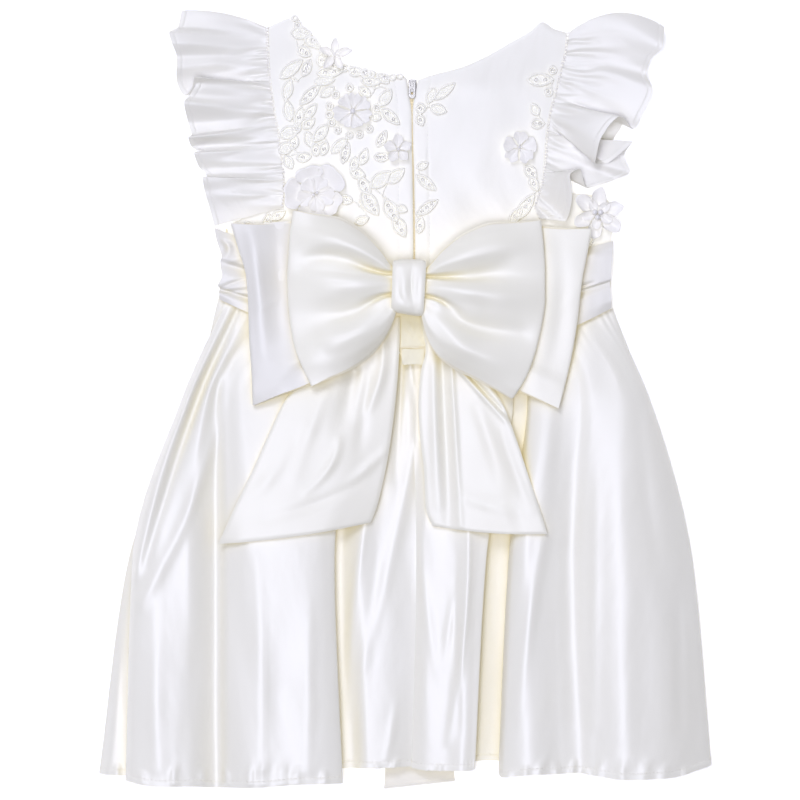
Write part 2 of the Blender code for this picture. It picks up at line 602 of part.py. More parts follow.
def make_bodice():
    for name, edges in bodice_edges().items():
        cloth("bodice_back_" + name, bodice_grid(*edges, 13, 14), BODICE_WALL)
    left = [(x + FRONT_INSET, y) for x, y in LEFT_SIDE[:-1]] + [FRONT_NECK[0]]
    right = [(x - FRONT_INSET, y) for x, y in RIGHT_SIDE[:-1]] + [FRONT_NECK[-1]]
    bottom = waist_edge(left[0][0], right[0][0], 13)
    flat = patch(bottom, FRONT_NECK, left, right, 15, 12)
    lift = band_lift(flat[..., 0], flat[..., 1])
    cloth("bodice_front", with_height(flat, BODICE_WALL + lift), BODICE_WALL)


# Frills

def frill_grid(table, side_line, outward, per_row, levels):
    """One frill, row 0 along the armhole's seam."""
    side = np.asarray(side_line, float)
    table = np.asarray(table)
    places = between_rows(table, per_row)
    rows = read_rows(table, range(len(table)), places)
    seam_x = np.interp(rows[:, 0], side[:, 1], side[:, 0]) + outward * FRILL_GAP
    ripple = FRILL_RIPPLE * (np.arange(len(rows)) % 2)
    grid = []
    for t in levels:
        x = seam_x + (rows[:, 2] - seam_x) * t
        y = rows[:, 0] + (rows[:, 3] - rows[:, 0]) * t + rows[:, 5] * 4 * t * (1 - t)
        rise = smooth(t) * 0.35 + t * 0.65
        z = rows[:, 1] + (rows[:, 4] - rows[:, 1]) * rise + ripple * 4 * t * (1 - t) ** 3
        grid.append(np.stack([x, y, z], axis=1))
    return np.array(grid)


def make_frills():
    levels = (0.0, 0.3, 0.65, 1.0)
    left = frill_grid(LEFT_FRILL, LEFT_SIDE, -1, 2, levels)
    cloth("frill_left", left, FRILL_WALL)
    right = frill_grid(RIGHT_FRILL, RIGHT_FRILL_SEAM, 1, 2, levels)
    cloth("frill_right", right, FRILL_WALL, faces_up=False)


# Sash and bow

def lay_on(grid, below, clearance, reach=7.0):
    """Raises a grid's points to lie clear of the cloth below them."""
    grid = grid.copy()
    for point in grid.reshape(-1, 3):
        point[2] = max(point[2], highest(below, point[0], point[1], reach) + clearance)
    return grid


def sash_grid(table, end, across, per_row, end_height):
    """One half of the sash, row 0 along its top edge, from the side to the knot."""
    table = np.asarray(table)
    rows = read_rows(table, range(len(table)), between_rows(table, per_row))
    s = np.linspace(0, 1, across)
    x = rows[:, 1:2] + (end - rows[:, 1:2]) * s
    y = rows[:, 0:1] + (rows[:, 2:3] - rows[:, 0:1]) * (1 - (1 - s) ** 2)
    z = rows[:, 3:4] - 0.8 * (1 - s) ** 2
    if end < 0:
        z = z + (end_height - z) * smooth((14.0 - x) / 9.0)
    else:
        z = z + (np.maximum(z, end_height) - z) * smooth((x + 24.0) / 12.0)
    return np.stack([x, y, z], axis=2)


def sash_halves(across, per_row, skirts):
    """The left and right halves of the sash at the back, lying on the skirt."""
    left = sash_grid(SASH_LEFT, SASH_LEFT_END, across, per_row, SASH_OVERLAP)
    right = sash_grid(SASH_RIGHT, SASH_RIGHT_END, across, per_row, SASH_UNDERLAP)
    clearance = SASH_WALL + SEAM_GAP
    return lay_on(left, skirts, clearance), lay_on(right, skirts, clearance)


def fine_skirts():
    fine = np.linspace(0, 1, 60)
    return [skirt_grid(table, 8, fine) for table in (SKIRT_BACK_LEFT, SKIRT_BACK_RIGHT)]


def make_sash():
    left, right = sash_halves(11, 1, fine_skirts())
    cloth("sash_left", left, SASH_WALL)
    cloth("sash_right", right, SASH_WALL)
    x = np.broadcast_to(np.linspace(-117.0, 132.0, 13), (5, 13))
    y = waist_line(x) + np.linspace(SASH_REACH - 4, 4, 5)[:, None]
    cloth("sash_front", np.stack([x, y, np.full(x.shape, SASH_WALL)], axis=2), SASH_WALL)


def loop_y(knot_y, rise, bow, t):
    """y along a loop's line, drawn together where it enters the knot."""
    spread = 0.62 + 0.38 * float(smooth(t / 0.25))
    middle = KNOT_CENTRE[1]
    swell = math.sin(math.pi * t) ** 1.5
    return middle + (knot_y - middle) * spread + rise * t ** 1.15 + bow * swell


def loop_grid(table, root, heights, per_row, below):
    """One loop of the bow: out from the knot above, round its outer fold and back below."""
    table = np.asarray(table)
    rows = read_rows(table, range(len(table)), between_rows(table, per_row))
    seat, root_height, outer_height = heights
    grid = []
    for knot_y, outer_x, outer_y, bow, puff in rows:
        reach = outer_x - root
        turn = math.copysign(4.0, reach)
        upper, lower = [], []
        for t in (0.0, 0.1, 0.2, 0.4, 0.65, 0.87, 1.0):
            x = root + (reach - turn) * t
            y = loop_y(knot_y, outer_y - knot_y, bow, t)
            rest = highest(below, x, y, 8.0) + 3 * SEAM_GAP
            under = max(seat - OUTER_DROP * float(smooth((t - 0.1) / 0.5)), rest)
            height = root_height + (outer_height - root_height) * t
            upper.append((x, y, under + height + puff * math.sin(math.pi * t)))
            lower.append((x, y, under))
        under = lower[-1][2]
        upper[-1] = (outer_x - turn * 0.2, outer_y, under + outer_height * 0.82)
        lower[-1] = (outer_x - turn * 0.3, outer_y, under + outer_height * 0.12)
        fold = (outer_x, outer_y, under + outer_height * 0.5)
        grid.append(upper + [fold] + lower[::-1])
    return np.array(grid).transpose(1, 0, 2)


def ring_object(name, look):
    """The knot: a band wrapped round the middle of the bow."""
    sides, across = 20, 5
    grid = []
    for i in range(sides):
        angle = 2 * math.pi * i / sides
        c, s = math.cos(angle), math.sin(angle)
        y = KNOT_CENTRE[1] + KNOT_HALF_Y * math.copysign(abs(c) ** 0.55, c)
        z = KNOT_CENTRE[2] + KNOT_HALF_Z * math.copysign(abs(s) ** 0.6, s)
        low = (KNOT_CENTRE[1] + KNOT_HALF_Y - y) / (2 * KNOT_HALF_Y)
        left = KNOT_LEFT[0] + (KNOT_LEFT[1] - KNOT_LEFT[0]) * low
        right = KNOT_RIGHT[0] + (KNOT_RIGHT[1] - KNOT_RIGHT[0]) * low
        grid.append([(left + (right - left) * k / (across - 1), y, z) for k in range(across)])
    points = [place(point) for line in grid for point in line]
    quads = []
    for i in range(sides):
        for k in range(across - 1):
            here, after = i * across + k, ((i + 1) % sides) * across + k
            quads.append((here, after, after + 1, here + 1))
    mesh = bpy.data.meshes.new(name)
    mesh.from_pydata(points, [], quads)
    mesh.shade_smooth()
    return add_wall(finish_object(bpy.data.objects.new(name, mesh), look), KNOT_WALL)


def tail_grid(table, across, per_row, below):
    """One tail of the bow, lying on the skirt's folds, row 0 under the knot."""
    table = np.asarray(table)
    rows = read_rows(table, range(len(table)), between_rows(table, per_row))
    s = np.linspace(0, 1, across)
    grid = np.zeros((len(rows), across, 3))
    for i, (left_x, left_y, right_x, right_y) in enumerate(rows):
        down = i / (len(rows) - 1)
        for k in range(across):
            x = left_x + (right_x - left_x) * s[k]
            y = left_y + (right_y - left_y) * s[k] - TAIL_SAG * down ** 4 * 4 * s[k] * (1 - s[k])
            grid[i, k] = (x, y, TAIL_ROOT)
    grid = lay_on(grid, below, TAIL_WALL + 2 * SEAM_GAP, 9.0)
    lowest = grid[..., 2].copy()
    for _ in range(6):
        z = grid[..., 2]
        mean = z.copy()
        mean[1:-1] = (z[:-2] + 2 * z[1:-1] + z[2:]) / 4
        mean[:, 1:-1] = (mean[:, :-2] + 2 * mean[:, 1:-1] + mean[:, 2:]) / 4
        grid[..., 2] = np.maximum(mean, lowest)
    grid[0, :, 2] = TAIL_ROOT
    return grid


def make_bow():
    skirts = fine_skirts()
    below = skirts + list(sash_halves(40, 4, skirts))
    fine_tails = [tail_grid(table, 21, 4, below) for table in (TAIL_LEFT, TAIL_RIGHT)]
    cloth("bow_tail_left", tail_grid(TAIL_LEFT, 7, 1, below), TAIL_WALL)
    cloth("bow_tail_right", tail_grid(TAIL_RIGHT, 7, 1, below), TAIL_WALL)
    below = below + fine_tails
    sides = (
        ("left", LOOP_ROOTS[0], BACK_LOOP_LEFT, FRONT_LOOP_LEFT),
        ("right", LOOP_ROOTS[1], BACK_LOOP_RIGHT, FRONT_LOOP_RIGHT),
    )
    for side, root, back_table, front_table in sides:
        back = loop_grid(back_table, root, BACK_LOOP_HEIGHTS, 2, below)
        fine_back = dense(loop_grid(back_table, root, BACK_LOOP_HEIGHTS, 8, below), 5)
        front = loop_grid(front_table, root, FRONT_LOOP_HEIGHTS, 2, [fine_back])
        cloth("bow_back_loop_" + side, back, LOOP_WALL)
        cloth("bow_front_loop_" + side, front, LOOP_WALL)
    ring_object("bow_knot", SATIN)


# Zip

def plate(name, outlines, bottom, wall, look, origin=(0.0, 0.0)):
    """A flat piece from closed outlines about an origin, its under face at the height bottom."""
    curve = bpy.data.curves.new(name, "CURVE")
    curve.dimensions = "2D"
    curve.fill_mode = "BOTH"
    curve.extrude = wall / 2 * MM
    for outline in outlines:
        spline = curve.splines.new("POLY")
        spline.points.add(len(outline) - 1)
        for point, (x, y) in zip(spline.points, outline):
            point.co = (x * MM, y * MM, 0.0, 1.0)
        spline.use_cyclic_u = True
    obj = bpy.data.objects.new(name, curve)
    obj.location = place((*origin, bottom + wall / 2))
    return finish_object(obj, look)


def block(name, low, high, look):
    """A box between two corners."""
    bm = bmesh.new()
    bmesh.ops.create_cube(bm, size=1.0)
    bmesh.ops.scale(bm, vec=[(b - a) * MM for a, b in zip(low, high)], verts=bm.verts)
    mesh = bpy.data.meshes.new(name)
    bm.to_mesh(mesh)
    bm.free()
    obj = bpy.data.objects.new(name, mesh)
    obj.location = place([(a + b) / 2 for a, b in zip(low, high)])
    return finish_object(obj, look)


def unite(base, tool):
    """Joins the tool into the base, and moves it to the cutters."""
    join = base.modifiers.new("join", "BOOLEAN")
    join.operation = "UNION"
    join.object = tool
    bpy.data.collections[GOWN_NAME].objects.unlink(tool)
    bpy.data.collections[TOOLS_NAME].objects.link(tool)
    tool.hide_render = True
    tool.display_type = "WIRE"


def make_zip():
    axis_x, axis_y, axis_z = PULL_AXIS
    tape_low = (SEAM_X - TAPE_WIDTH / 2, waist_line(SEAM_X) + 1.0, TAPE_TOP - TAPE_WALL)
    block("zip_tape", tape_low, (SEAM_X + TAPE_WIDTH / 2, TAPE_END, TAPE_TOP), TAPE)

    slider_top = SLIDER_BASE + SLIDER_WALL
    slider = block(
        "zip_slider",
        (SLIDER_X - SLIDER_WIDTH / 2, SLIDER_END - SLIDER_LENGTH, SLIDER_BASE),
        (SLIDER_X + SLIDER_WIDTH / 2, SLIDER_END, slider_top),
        METAL,
    )
    for vertex in slider.data.vertices:
        if vertex.co.y < 0:
            vertex.co.x *= SLIDER_TAPER
    bevel = slider.modifiers.new("edges", "BEVEL")
    bevel.width = 0.25 * MM
    bevel.segments = 2
    bridge_low = axis_z + 2 * PULL_BAR - 0.05
    reach = 2 * PULL_BAR + BRIDGE_BAR
    half = BRIDGE_BAR * 0.65
    bar = block(
        "bridge_bar",
        (axis_x - half, axis_y - reach, bridge_low),
        (axis_x + half, axis_y + reach, bridge_low + BRIDGE_BAR),
        METAL,
    )
    for side in (-1, 1):
        inner, outer = sorted((side * (reach - BRIDGE_BAR), side * reach))
        post = block(
            "bridge_post",
            (axis_x - half, axis_y + inner, slider_top - 0.4),
            (axis_x + half, axis_y + outer, bridge_low + BRIDGE_BAR / 2),
            METAL,
        )
        unite(bar, post)
    unite(slider, bar)

    width = PULL_WIDTH / 2
    tip = [
        (width * math.cos(math.radians(a)) * (0.75 if a % 90 else 1.0), -PULL_LENGTH + width * 0.6
         + width * 0.6 * math.sin(math.radians(a)))
        for a in range(180, 361, 30)
    ]
    outline = [(width, PULL_BAR), (-width, PULL_BAR)] + tip
    window = [
        (-1.0, -PULL_BAR), (1.0, -PULL_BAR), (1.0, -PULL_WINDOW), (-1.0, -PULL_WINDOW),
    ]
    plate("zip_pull", (outline, window), axis_z - PULL_BAR, 2 * PULL_BAR, METAL, (axis_x, axis_y))


# Trim

def flower_object(name, x, y, radius, petals, lift, turn, base):
    """A rosette of petals: a sewn hub, and petal tips that stand up from the bodice."""
    steps = petals * 4
    rings = (FLOWER_HUB, 0.68, 1.0)
    points = [place((x, y, base + PETAL_WALL))]
    for ring in rings:
        for i in range(steps):
            angle = 2 * math.pi * i / steps + math.radians(turn)
            lobe = abs(math.cos(petals * math.pi * i / steps))
            reach = radius * ring * (1 - (1 - lobe ** 0.5) * 0.42 * ring)
            height = base + PETAL_WALL + lift * ring ** 1.5 * (0.45 + 0.55 * lobe)
            points.append(place((x + reach * math.cos(angle), y + reach * math.sin(angle), height)))
    faces = [(0, 1 + i, 1 + (i + 1) % steps) for i in range(steps)]
    for ring in range(len(rings) - 1):
        for i in range(steps):
            here, after = 1 + ring * steps + i, 1 + ring * steps + (i + 1) % steps
            faces.append((here, here + steps, after + steps, after))
    mesh = bpy.data.meshes.new(name)
    mesh.from_pydata(points, [], faces)
    mesh.shade_smooth()
    return add_wall(finish_object(bpy.data.objects.new(name, mesh), ORGANZA), PETAL_WALL)


def lace_outline(x, y, leaves):
    """A cluster of pointed leaves round a hub."""
    half = 180.0 / LEAF_SLIMNESS / 2
    angles = set()
    for direction, _ in leaves:
        for step in (-1.0, -0.65, -0.3, 0.0, 0.3, 0.65, 1.0):
            angles.add(round((direction + step * half) % 360, 3))
    for direction in range(0, 360, 40):
        angles.add(float(direction))
    outline = []
    for angle in sorted(angles):
        reach = LACE_HUB
        for direction, length in leaves:
            away = (angle - direction + 180) % 360 - 180
            if abs(away) < half:
                reach = max(reach, length * math.cos(math.radians(LEAF_SLIMNESS * away)))
        turn = math.radians(angle)
        outline.append((x + reach * math.cos(turn), y + reach * math.sin(turn)))
    return outline


def make_trim():
    for name, (x, y, radius, petals, lift, turn) in FLOWERS.items():
        base = max(crown(x + dx, y) for dx in (-radius, 0, radius)) + SEAM_GAP
        flower_object(name, x, y, radius, petals, lift, turn, float(base))
    for name, (x, y, leaves) in LACE.items():
        outline = lace_outline(x, y, leaves)
        base = max(float(crown(px, py)) for px, py in outline) + SEAM_GAP
        plate(name, [outline], base, LACE_WALL, LACE_THREAD)


def main():
    for obj in list(bpy.data.objects):
        bpy.data.objects.remove(obj, do_unlink=True)
    for name in (GOWN_NAME, TOOLS_NAME):
        bpy.context.scene.collection.children.link(bpy.data.collections.new(name))
    make_skirt()
    make_bodice()
    make_frills()
    make_sash()
    make_bow()
    make_zip()
    make_trim()


main()
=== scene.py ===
"""The looks of a baby's satin christening gown, which lies on its front with its back up.

The tables and sizes are in millimetres, and MM turns them into metres. The hem is toward -Y,
the neck toward +Y, and the gown lies on z = 0. A sheet of cloth is a grid of points on its
outer face, and shell() gives it its wall on the inner side. Only the organza petals take theirs
from Solidify.
"""

import math
import random

import bpy
import numpy as np
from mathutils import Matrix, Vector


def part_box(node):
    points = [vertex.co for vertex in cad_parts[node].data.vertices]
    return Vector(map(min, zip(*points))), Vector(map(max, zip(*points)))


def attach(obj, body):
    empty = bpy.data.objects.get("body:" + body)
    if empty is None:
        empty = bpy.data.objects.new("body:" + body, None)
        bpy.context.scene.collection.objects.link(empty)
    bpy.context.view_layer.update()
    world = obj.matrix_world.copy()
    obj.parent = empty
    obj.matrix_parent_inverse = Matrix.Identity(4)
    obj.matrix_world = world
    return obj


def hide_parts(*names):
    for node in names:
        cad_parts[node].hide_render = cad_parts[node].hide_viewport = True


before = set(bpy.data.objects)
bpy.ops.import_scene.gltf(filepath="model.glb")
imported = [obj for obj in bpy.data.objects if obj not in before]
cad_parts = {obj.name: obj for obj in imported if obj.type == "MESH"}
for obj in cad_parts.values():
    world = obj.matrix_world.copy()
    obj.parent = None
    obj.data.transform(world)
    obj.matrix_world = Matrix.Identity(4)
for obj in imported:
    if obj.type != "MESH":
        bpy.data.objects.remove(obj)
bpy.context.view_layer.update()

MM = 0.001
BODY = "gown"
PULL_BODY = "zip_pull"
SHIFT_X = 0.25            # moves the tables' middle onto the frame's origin
SHIFT_Y = -0.85
SEAM_GAP = 0.3            # between two pieces at a seam, or one lying on another
SKIRT_WALL = 0.7
BODICE_WALL = 0.8
FRILL_WALL = 0.45
SASH_WALL = 0.8
LOOP_WALL = 0.8
TAIL_WALL = 1.2
SASH_REACH = 50.0         # the waistband's height
SASH_CLEARANCE = 1.2      # how far the waistband's outer face lies over the skirt's folds
TAIL_CLEARANCE = 1.8      # and a tail's outer face over the cloth below it
SEAM_X = 5.1              # the centre back seam
WAIST_Y = 31              # the waist's seam at the centre back
WAIST_LEFT = (39, 122)    # how much higher it is at a distance from the middle, on each side
WAIST_RIGHT = (31, 137)
CROWN_SIDE = 4.3          # top of the bodice's back at its side seams
CROWN_RISE = 1.6          # and how much higher it lies at the centre back
CROWN_HALF = 135          # from the middle to the side seams
SHOULDER_HEIGHT = 2.9
SHOULDER_START = 200      # y where the crown begins to sink to the shoulders
SHOULDER_RUN = 42
# Stitches: pitch, length, radius of the thread
SKIRT_STITCH = (2.7, 2.0, 0.16)
LINING_STITCH = (2.2, 1.7, 0.14)
PLACKET_STITCH = (2.6, 1.7, 0.13)
FRILL_STITCH = (2.2, 1.6, 0.13)
ZIGZAG_EDGES = (1.0, 2.9)  # how far above the lining's hem its zigzag runs
ZIGZAG_TURNS = 60
ZIGZAG_THREAD = 0.16
COIL_PITCH = 0.95
COIL_SIDE = 0.55          # from the seam to the middle of each tooth
COIL_TOOTH = (1.25, 0.44, 0.5)
TAPE_WIDTH = 23.0
TAPE_TOP = 4.3
TAPE_END = 204.5
PULL_AXIS = (4.2, 207.0, 6.65)
PULL_BAR = 0.35           # half the pull tab's thickness, and half its crossbar
PULL_WINDOW = 2.75        # from the axis to the far end of the tab's window
PULL_LENGTH = 10.6        # from the axis to the tab's tip
PULL_WIDTH = 4.4
LOOP_REACH = 8            # how far round a point a loop, tail or sash looks for what is below
TAIL_REACH = 9
SASH_REST = 7
HEM_TURN = 4.3            # from the skirt's hem to its stitches
FRILL_TURN = 3.6

# The back skirt. Each row is one line of cloth that runs from the waist to the hem, through
# four levels: the waist, UPPER_Y 30 mm below it, LOWER_Y about halfway down, and the hem.
# waist x, z | upper x, z | lower x, z | hem x, z, y
UPPER_Y = 1.0
LOWER_Y = -103.0
SKIRT_LEVELS = (0.0, 0.25, 0.6, 1.0)
SKIRT_BACK_LEFT = (
    (-121.0, 4.2, -138.0, 2.7, -180.0, 2.7, -199.0, 2.7, -241.5),
    (-120.0, 4.5, -136.0, 5.0, -175.0, 6.0, -191.0, 9.0, -242.0),
    (-119.0, 4.8, -133.0, 6.5, -164.0, 8.0, -177.0, 9.5, -242.5),
    (-118.0, 5.1, -131.0, 8.0, -157.0, 9.5, -169.0, 11.5, -243.0),
    (-117.0, 5.4, -135.0, 9.5, -161.0, 12.5, -172.0, 14.0, -244.0),
    (-116.0, 5.8, -145.3, 10.6, -176.8, 14.0, -181.0, 16.5, -244.6),
    (-112.0, 6.2, -141.0, 15.0, -172.5, 19.0, -176.0, 21.5, -246.0),
    (-107.0, 6.4, -135.5, 12.5, -160.0, 21.0, -158.0, 25.0, -248.4),
    (-101.0, 6.5, -129.0, 15.5, -141.0, 20.0, -140.0, 22.0, -248.4),
    (-94.5, 6.5, -121.6, 11.0, -123.2, 12.0, -122.5, 13.0, -249.7),
    (-88.0, 6.5, -115.0, 14.0, -114.0, 18.0, -113.0, 20.0, -249.3),
    (-80.0, 6.5, -104.0, 17.0, -96.0, 23.0, -96.0, 26.0, -249.0),
    (-69.0, 6.5, -80.0, 17.0, -72.0, 22.0, -68.0, 25.0, -247.0),
    (-58.0, 6.5, -48.0, 15.5, -53.0, 19.0, -48.0, 21.0, -246.8),
    (-50.0, 6.5, -34.8, 13.0, -45.8, 15.0, -40.5, 16.5, -246.5),
    (-45.0, 6.5, -38.0, 9.8, -50.0, 11.2, -45.0, 11.8, -245.0),
    (-40.5, 6.5, -43.0, 8.6, -58.0, 9.2, -56.0, 9.8, -243.0),
    (-36.0, 6.5, -42.0, 6.2, -58.0, 6.3, -55.0, 6.3, -240.0),
    (-31.0, 6.5, -34.0, 5.8, -42.0, 6.0, -36.0, 6.0, -237.6),
    (-22.0, 6.5, -22.0, 8.5, -27.0, 11.0, -24.0, 12.0, -237.6),
    (-9.0, 6.5, -10.0, 8.0, -12.0, 9.5, -10.0, 10.5, -237.2),
    (4.95, 6.5, 4.7, 6.5, 6.8, 7.0, 3.8, 7.0, -236.7),
)
SKIRT_BACK_RIGHT = (
    (5.25, 6.5, 5.0, 6.5, 7.1, 7.0, 4.1, 7.0, -237.6),
    (11.0, 6.5, 14.0, 9.0, 15.0, 10.5, 12.5, 11.0, -238.9),
    (19.0, 6.5, 30.0, 10.5, 30.0, 12.0, 26.0, 13.0, -239.0),
    (27.0, 6.5, 50.0, 12.0, 40.0, 14.5, 36.0, 15.5, -239.0),
    (34.0, 6.5, 62.0, 11.5, 47.0, 13.5, 42.0, 14.0, -238.9),
    (39.0, 6.5, 70.0, 10.0, 52.3, 12.4, 45.0, 12.8, -237.5),
    (43.0, 6.5, 67.0, 9.2, 49.0, 9.6, 42.0, 9.6, -236.0),
    (47.0, 6.5, 65.0, 8.4, 46.0, 7.2, 38.0, 7.2, -235.0),
    (50.5, 6.5, 66.0, 7.9, 48.0, 5.4, 41.0, 5.4, -234.0),
    (54.0, 6.5, 72.0, 7.2, 59.0, 3.4, 53.0, 3.4, -233.0),
    (59.0, 6.5, 82.0, 6.8, 74.0, 2.4, 68.0, 2.4, -234.0),
    (63.5, 6.5, 85.0, 7.4, 79.0, 4.6, 73.0, 4.6, -236.0),
    (67.5, 6.5, 83.0, 8.8, 75.0, 7.6, 68.0, 7.6, -238.0),
    (71.5, 6.5, 79.0, 9.5, 66.6, 11.5, 60.0, 12.0, -240.0),
    (76.0, 6.5, 81.0, 13.0, 69.0, 17.0, 62.5, 18.0, -243.0),
    (83.0, 6.5, 90.0, 16.0, 79.0, 22.0, 79.0, 24.0, -241.0),
    (91.0, 6.5, 103.0, 15.0, 97.0, 18.0, 100.0, 19.0, -240.5),
    (98.0, 6.5, 112.0, 14.5, 107.0, 15.5, 112.0, 16.5, -240.0),
    (105.0, 6.4, 121.5, 17.0, 117.0, 19.0, 122.0, 20.0, -241.5),
    (113.0, 6.2, 138.0, 18.0, 139.0, 24.5, 144.0, 26.5, -244.0),
    (120.0, 5.9, 149.0, 15.0, 163.0, 20.0, 171.0, 21.5, -243.0),
    (126.0, 5.4, 156.0, 11.0, 179.0, 12.5, 188.0, 13.5, -239.0),
    (131.0, 4.8, 158.8, 7.0, 186.3, 6.5, 198.5, 6.5, -235.3),
    (134.5, 4.2, 157.0, 2.7, 184.0, 2.7, 196.0, 2.7, -233.0),
)

# The front skirt lies flat on the surface, out of sight inside the back's outline.
# left x, right x, y at the sides, y in the middle
SKIRT_FRONT = (
    (-119.0, 133.0, 63.0, 33.0),
    (-136.5, 155.5, 1.0, 0.0),
    (-153.0, 170.0, -50.0, -51.0),
    (-168.5, 182.5, -103.0, -103.0),
    (-184.0, 190.5, -170.0, -168.0),
    (-197.0, 194.5, -236.0, -230.5),
)
# The lining shows only at the hem's middle: left x, right x, y on the left, y on the right
LINING_ROWS = (
    (-1.0, 12.0, 29.0, 29.0),
    (-3.0, 18.0, -40.0, -40.0),
    (-9.0, 26.0, -160.0, -158.0),
    (-14.0, 32.0, -251.7, -246.6),
)
LINING_TOP = 2.6
LINING_WALL = 0.8

# The bodice. Outline points (x, y) of each side, from bottom to top or left to right.
LEFT_SIDE = (
    (-117.5, 67.6), (-113.5, 92.0), (-115.5, 113.0), (-107.6, 118.0), (-93.3, 125.7),
    (-84.0, 135.0), (-80.5, 146.0), (-79.8, 158.6), (-82.0, 174.7), (-84.2, 185.6),
    (-86.3, 200.5), (-88.4, 215.7), (-89.0, 229.8), (-89.5, 243.2),
)
LEFT_NECK = (
    (-89.5, 243.2), (-71.2, 250.2), (-66.0, 243.2), (-59.5, 237.3), (-54.0, 229.8),
    (-36.7, 217.9), (-27.0, 216.2), (-10.7, 211.9), (-2.9, 212.2), (0.9, 209.4),
)
LEFT_ZIP_EDGE = (
    (4.4, 31.6), (5.1, 96.0), (4.6, 140.0), (4.1, 171.0), (3.9, 187.0), (2.6, 198.0), (0.9, 209.4),
)
RIGHT_ZIP_EDGE = (
    (5.8, 31.6), (6.3, 96.0), (5.7, 140.0), (4.9, 171.0), (4.7, 187.0), (5.6, 197.0), (8.1, 208.7),
)
RIGHT_NECK = (
    (8.1, 208.7), (16.2, 211.6), (35.9, 216.8), (52.1, 223.9), (67.2, 232.5), (81.2, 240.6),
    (88.7, 246.5), (96.9, 241.8), (105.0, 239.5),
)
RIGHT_SIDE = (
    (133.6, 61.4), (133.0, 98.5), (134.6, 116.0), (132.0, 130.0), (122.0, 134.0), (108.0, 135.5),
    (98.0, 138.5), (92.5, 143.0), (89.6, 149.5), (89.9, 156.5), (91.0, 170.4), (92.8, 184.3),
    (95.7, 196.0), (98.5, 206.4), (100.9, 216.8), (103.8, 228.5), (105.0, 239.5),
)
FRONT_NECK = (
    (-88.5, 242.4), (-71.0, 248.6), (-60.0, 226.0), (-36.0, 203.0), (4.0, 193.0), (44.0, 202.0),
    (72.0, 226.0), (88.0, 245.0), (104.0, 238.6),
)
FRONT_INSET = 1.4

# The lines on which the frills are sewn, which run on down over the bodice's sides
LEFT_FRILL_SEAM = (
    (-79.6, 124.0), (-78.4, 135.0), (-78.9, 148.0), (-80.2, 160.0), (-82.0, 174.7), (-84.2, 185.6),
    (-86.3, 200.5), (-88.4, 215.7), (-89.0, 229.8), (-89.5, 243.2),
)
RIGHT_FRILL_SEAM = (
    (82.9, 124.0), (84.6, 129.8), (88.6, 141.4), (90.6, 156.5), (91.2, 170.4), (92.8, 184.3),
    (95.7, 196.0), (98.5, 206.4), (100.9, 216.8), (103.8, 228.5), (105.0, 239.5),
)

# The frills. Each row is one line of cloth from the armhole's seam to the stitched hem.
# seam y, seam z | hem x, y, z | sideways bow in y
LEFT_FRILL = (
    (126.0, 7.2, -124.0, 113.6, 6.4, 0.0),
    (130.0, 7.2, -127.2, 126.2, 9.0, 0.0),
    (136.0, 7.2, -130.3, 137.3, 12.0, 0.0),
    (142.5, 7.0, -131.5, 145.5, 15.0, 0.0),
    (146.0, 6.8, -128.8, 144.9, 10.0, 0.0),
    (149.5, 6.2, -129.2, 147.7, 6.0, 0.0),
    (153.0, 5.4, -133.6, 151.5, 7.0, 0.0),
    (162.0, 4.4, -137.0, 160.9, 12.0, 0.0),
    (166.0, 4.4, -132.7, 162.5, 8.5, 0.0),
    (170.0, 4.4, -138.6, 165.0, 6.0, 0.0),
    (178.0, 4.4, -140.6, 170.8, 14.0, 0.0),
    (181.0, 4.4, -138.6, 173.2, 9.0, 0.0),
    (184.5, 4.4, -140.7, 179.8, 8.0, 0.0),
    (189.0, 4.4, -143.2, 193.0, 15.5, 0.0),
    (193.5, 4.4, -140.1, 197.5, 13.0, 0.0),
    (201.0, 4.4, -135.6, 206.0, 14.0, 0.0),
    (206.0, 4.4, -136.2, 210.0, 18.0, 0.0),
    (209.0, 4.4, -138.4, 203.0, 11.0, 0.0),
    (212.0, 4.4, -143.5, 198.8, 6.0, 0.0),
    (217.0, 4.3, -148.5, 209.0, 9.0, 0.0),
    (222.5, 4.1, -148.2, 217.4, 12.5, 0.0),
    (226.5, 4.0, -148.2, 223.4, 11.5, 0.0),
    (231.0, 3.9, -151.3, 232.4, 16.0, 0.0),
    (234.5, 3.8, -153.0, 238.5, 15.0, 0.5),
    (238.0, 3.6, -147.7, 242.8, 9.0, 1.5),
    (243.2, 3.2, -144.8, 253.4, 7.5, 3.6),
    (241.0, 1.2, -142.5, 247.5, 2.6, 2.5),
    (232.0, 0.1, -144.5, 233.0, 0.4, 0.5),
    (219.0, 0.1, -140.0, 216.0, 1.8, 0.0),
    (204.0, 0.1, -131.0, 201.0, 0.2, 0.0),
    (190.0, 0.1, -134.0, 184.0, 1.8, 0.0),
    (176.0, 0.1, -130.0, 166.0, 0.2, 0.0),
    (161.0, 0.1, -124.0, 150.0, 1.6, 0.0),
    (145.0, 0.1, -122.0, 134.0, 0.2, 0.0),
    (130.0, 0.1, -116.0, 120.0, 0.8, 0.0),
)
